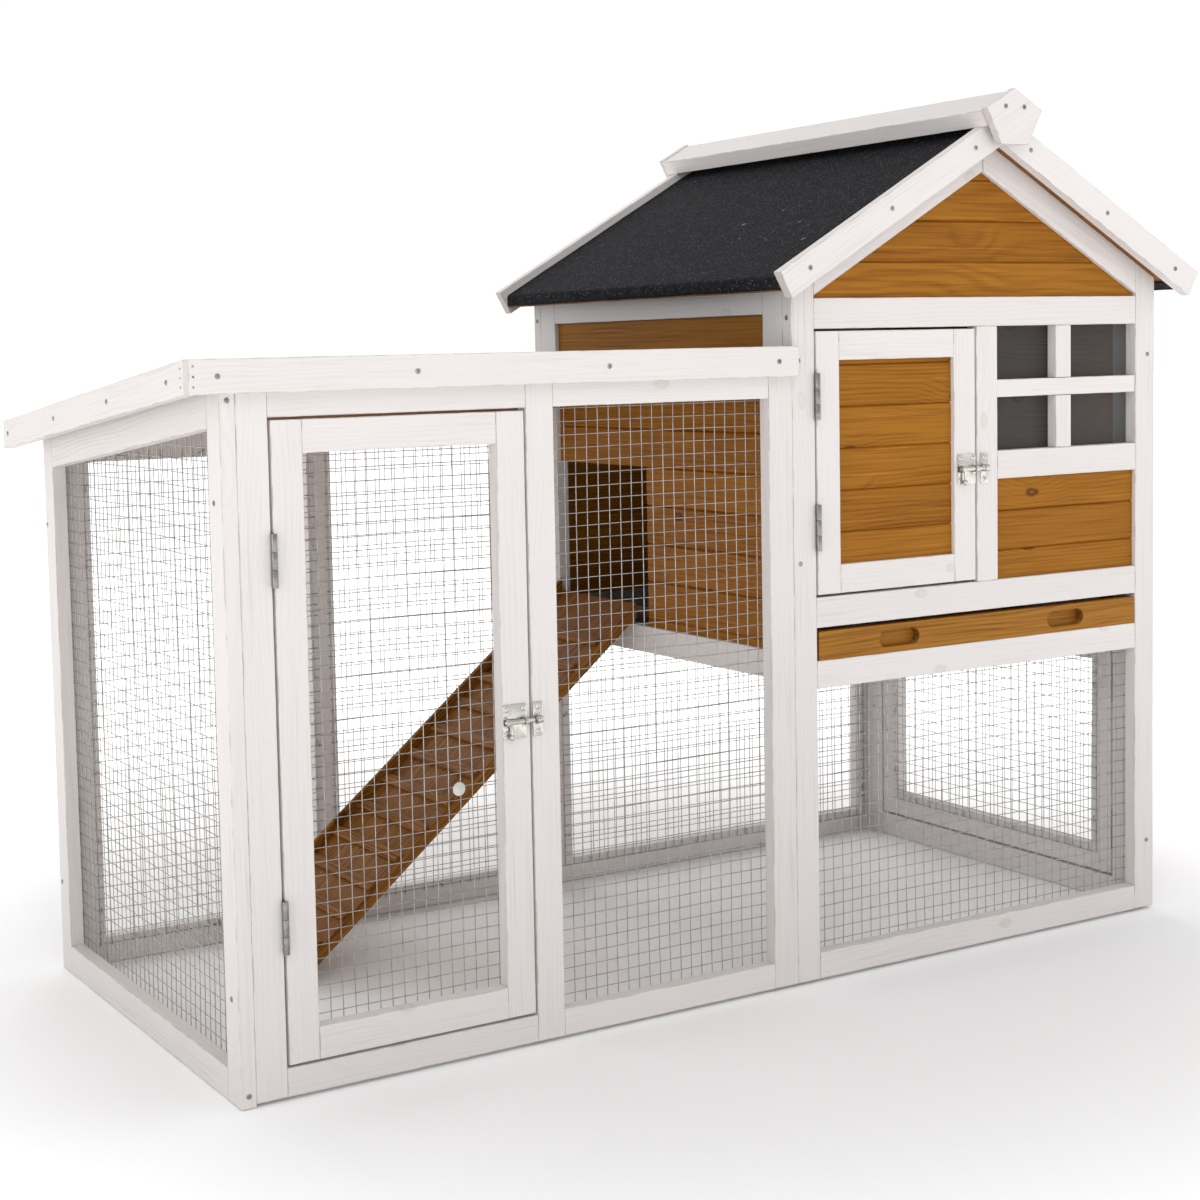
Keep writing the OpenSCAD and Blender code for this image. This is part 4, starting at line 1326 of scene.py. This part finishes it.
@dataclass
class Fasteners:
    """Screws and brads in the timber, bolt keepers, fixed hinge leaves and the door disc."""

    brad_r: float = 1.1 * MM
    brad_h: float = 0.35 * MM
    brad_apart: float = 12 * MM
    disc_r: float = 6.5 * MM
    leaf_edge: float = 0.2 * MM
    button_edge: float = 0.5 * MM
    keeper_strap: float = 6 * MM
    keeper_shift: float = 1 * MM
    keeper_screw: float = 12 * MM

    def build(self, finishes: Finishes) -> None:
        """Build the fasteners.

        Args:
            finishes: The materials.
        """
        self._screws(finishes)
        self._keepers(finishes)
        self._disc(finishes)
        Pressed("fixed_hinge_leaves", self.leaf_edge, HINGE_PAINTED_SHADE_FINISH).build(finishes)
        Pressed("side_door_button", self.button_edge).build(finishes)

    def _screws(self, finishes: Finishes) -> None:
        """Give each screw a recessed head, and each close-set one a brad's.

        Args:
            finishes: The materials.
        """
        source = node_mesh("frame_screws")
        spots = [span(verts) for verts in islands(source)]
        source.free()
        bm = bmesh.new()
        draw = random.Random("screws")
        for low, high in sorted(spots, key=lambda pair: tuple(pair[0])):
            middle, size = (low + high) / 2, high - low
            near = min((middle - (a + b) / 2).length for a, b in spots if (a, b) != (low, high))
            flat = min(range(3), key=lambda i: size[i])
            out = Vector(-1.0 if i == flat else 0.0 for i in range(3))
            base = middle - out * size[flat] / 2
            if near < self.brad_apart:
                r, h = self.brad_r, self.brad_h
                lathe(bm, [(r, 0), (r, 0.5 * h), (0.75 * r, h)], facing(out, base), 16)
            else:
                screw_head(bm, base, out, size[(flat + 1) % 3] / 2, size[flat], draw.uniform(0, 1.5))
        Piece.make(bm, "frame_screw_heads", "frame_screws", finishes, smooth=40)

    def _keepers(self, finishes: Finishes) -> None:
        """Build the bolt keepers as plates with a strap and two screws.

        Args:
            finishes: The materials.
        """
        source = node_mesh("bolt_keepers")
        bolt = SlideBolt("run_bolt")
        boxes = [span(verts) for verts in islands(source)]
        source.free()
        plates = {round((low.z + high.z) / 2, 3): (low, high) for low, high in boxes[::-1]
                  if high.z - low.z > 0.9 * bolt.plate_h}
        bm = bmesh.new()
        for _, (low, high) in sorted(plates.items()):
            middle = Vector(((low.x + high.x) / 2, high.y, (low.z + high.z) / 2))
            bolt.plate(bm, middle, high.x - low.x)
            bolt.strap(bm, middle - Vector((self.keeper_shift, 0, 0)), self.keeper_strap)
            for side in (-1, 1):
                bolt.screw(bm, middle + Vector((0, 0, side * self.keeper_screw)), 0.7 + side)
        Piece.make(bm, "bolt_keeper_plates", "bolt_keepers", finishes, smooth=35)

    def _disc(self, finishes: Finishes) -> None:
        """Turn the small disc on the run door's mesh, with a raised rim and middle.

        Args:
            finishes: The materials.
        """
        low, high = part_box("mesh_button")
        r, thick = self.disc_r, high.y - low.y
        centre = Vector(((low.x + high.x) / 2, high.y, (low.z + high.z) / 2))
        rim = [(0.9, 0), (1, 0.25), (1, 0.75), (0.94, 1), (0.86, 1), (0.80, 0.62), (0.46, 0.62)]
        boss = [(0.40, 0.9), (0.22, 0.9), (0.16, 0.5), (0.02, 0.5)]
        bm = bmesh.new()
        profile = [(share * r, level * thick) for share, level in rim + boss]
        lathe(bm, profile, facing(Vector((0, -1, 0)), centre), 40)
        Piece.make(bm, "mesh_button_disc", "mesh_button", finishes, smooth=35)


# ---- studio ----

@dataclass(frozen=True)
class Lamp:
    """A square soft light that looks at the hutch."""

    name: str
    spot: Triple
    size: float
    power: float

    def build(self, target: Triple) -> None:
        """Hang the light.

        Args:
            target: The point that it looks at.
        """
        light = bpy.data.lights.new(self.name, "AREA")
        light.size = self.size
        light.energy = self.power
        holder = bpy.data.objects.new(self.name, light)
        holder.location = self.spot
        holder.rotation_euler = (Vector(target) - Vector(self.spot)).to_track_quat("-Z", "Y").to_euler()
        bpy.context.scene.collection.objects.link(holder)


@dataclass
class Studio:
    """A pale floor, soft light and the camera."""

    spot: Triple = (-1.2261, -1.8731, 0.663)
    yaw: float = -30.16
    pitch: float = -4.37
    roll: float = 1.26
    focal: float = 60.15
    shift: Range = (0.073, -0.078)
    floor_size: float = 30.0
    floor_gap: float = 0.6 * MM
    floor_tone: Colour = (0.97, 0.97, 0.975)
    ambient: float = 0.71
    backdrop: float = 1.05
    floor_glow: float = 0.78
    glow_reach: Range = (0.5, 1.6)
    target: Triple = (0.0, 0.0, 0.4)
    lamps: tuple[Lamp, ...] = (
        Lamp("key", (-1.6, -3.0, 3.4), 3.0, 37.0),
        Lamp("fill", (3.0, -2.4, 2.0), 2.4, 12.0),
        Lamp("low", (-3.6, -0.9, 0.9), 2.2, 14.0),
        Lamp("back", (0.3, 3.6, 3.0), 3.4, 48.0))

    def build(self) -> None:
        """Build the floor, the lights and the camera."""
        self._floor()
        self._world()
        for lamp in self.lamps:
            lamp.build(self.target)
        self._camera()

    def _floor(self) -> None:
        """Lay a large pale floor just under the hutch, with a painted glow that grows brighter away from it.
        """
        bm = bmesh.new()
        bmesh.ops.create_grid(bm, x_segments=8, y_segments=8, size=self.floor_size)
        bmesh.ops.translate(bm, verts=bm.verts, vec=(0, 0, -self.floor_gap))
        mesh = bpy.data.meshes.new("studio_floor")
        bm.to_mesh(mesh)
        bm.free()
        floor = bpy.data.objects.new("studio_floor", mesh)
        bpy.context.scene.collection.objects.link(floor)
        material, g, shader = finish_tree("studio floor")
        g.put(shader.inputs["Base Color"], self.floor_tone)
        shader.inputs["Roughness"].default_value = 0.9
        # painted light: the floor emits light, none right by the hutch and more further away, so that it
        # reads white
        away = g.node("ShaderNodeVectorMath", {0: g.place()}, operation="LENGTH").outputs["Value"]
        glow = g.mix(g.step(away, *self.glow_reach), (0.0, 0.0, 0.0), (1.0, 1.0, 1.0))
        g.put(shader.inputs["Emission Color"], glow)
        shader.inputs["Emission Strength"].default_value = self.floor_glow
        mesh.materials.append(material)

    def _world(self) -> None:
        """Surround the scene with plain white light."""
        world = bpy.data.worlds.new("studio")
        world.use_nodes = True
        g = Graph(world.node_tree)
        back = world.node_tree.nodes["Background"]
        back.inputs["Color"].default_value = (1.0, 1.0, 1.0, 1.0)
        seen = g.node("ShaderNodeLightPath", {}).outputs["Is Camera Ray"]
        g.put(back.inputs["Strength"], g.between(seen, self.ambient, self.backdrop))
        bpy.context.scene.world = world
        bpy.context.scene.view_settings.view_transform = "Standard"

    def _camera(self) -> None:
        """Place the camera."""
        yaw, pitch, roll = (math.radians(a) for a in (self.yaw, self.pitch, self.roll))
        turn = Matrix.Rotation(yaw, 3, "Z") @ Matrix.Rotation(pitch, 3, "X") @ Matrix.Rotation(roll, 3, "Y")
        right, ahead, up = turn.col
        lens = bpy.data.cameras.new("camera")
        lens.lens = self.focal
        lens.shift_x, lens.shift_y = self.shift
        holder = bpy.data.objects.new("camera", lens)
        axes = Matrix((right, up, -ahead)).transposed().to_4x4()
        holder.matrix_world = Matrix.Translation(Vector(self.spot)) @ axes
        bpy.context.scene.collection.objects.link(holder)
        bpy.context.scene.camera = holder


def main() -> None:
    """Build the hutch and the studio."""
    logging.basicConfig(level=logging.INFO, format="%(name)s: %(message)s")
    finishes = Finishes()
    Run().build(finishes)
    House().build(finishes)
    Ramp().build(finishes)
    Door("run_door", Side.BEHIND_FRONT, "run_bolt").build(finishes)
    Door("house_door", None, "house_bolt").build(finishes)
    Door("side_door", Side.INSIDE_RIGHT).build(finishes)
    LitterTray().build(finishes)
    Fasteners().build(finishes)
    Studio().build()


if __name__ == "__main__":
    main()
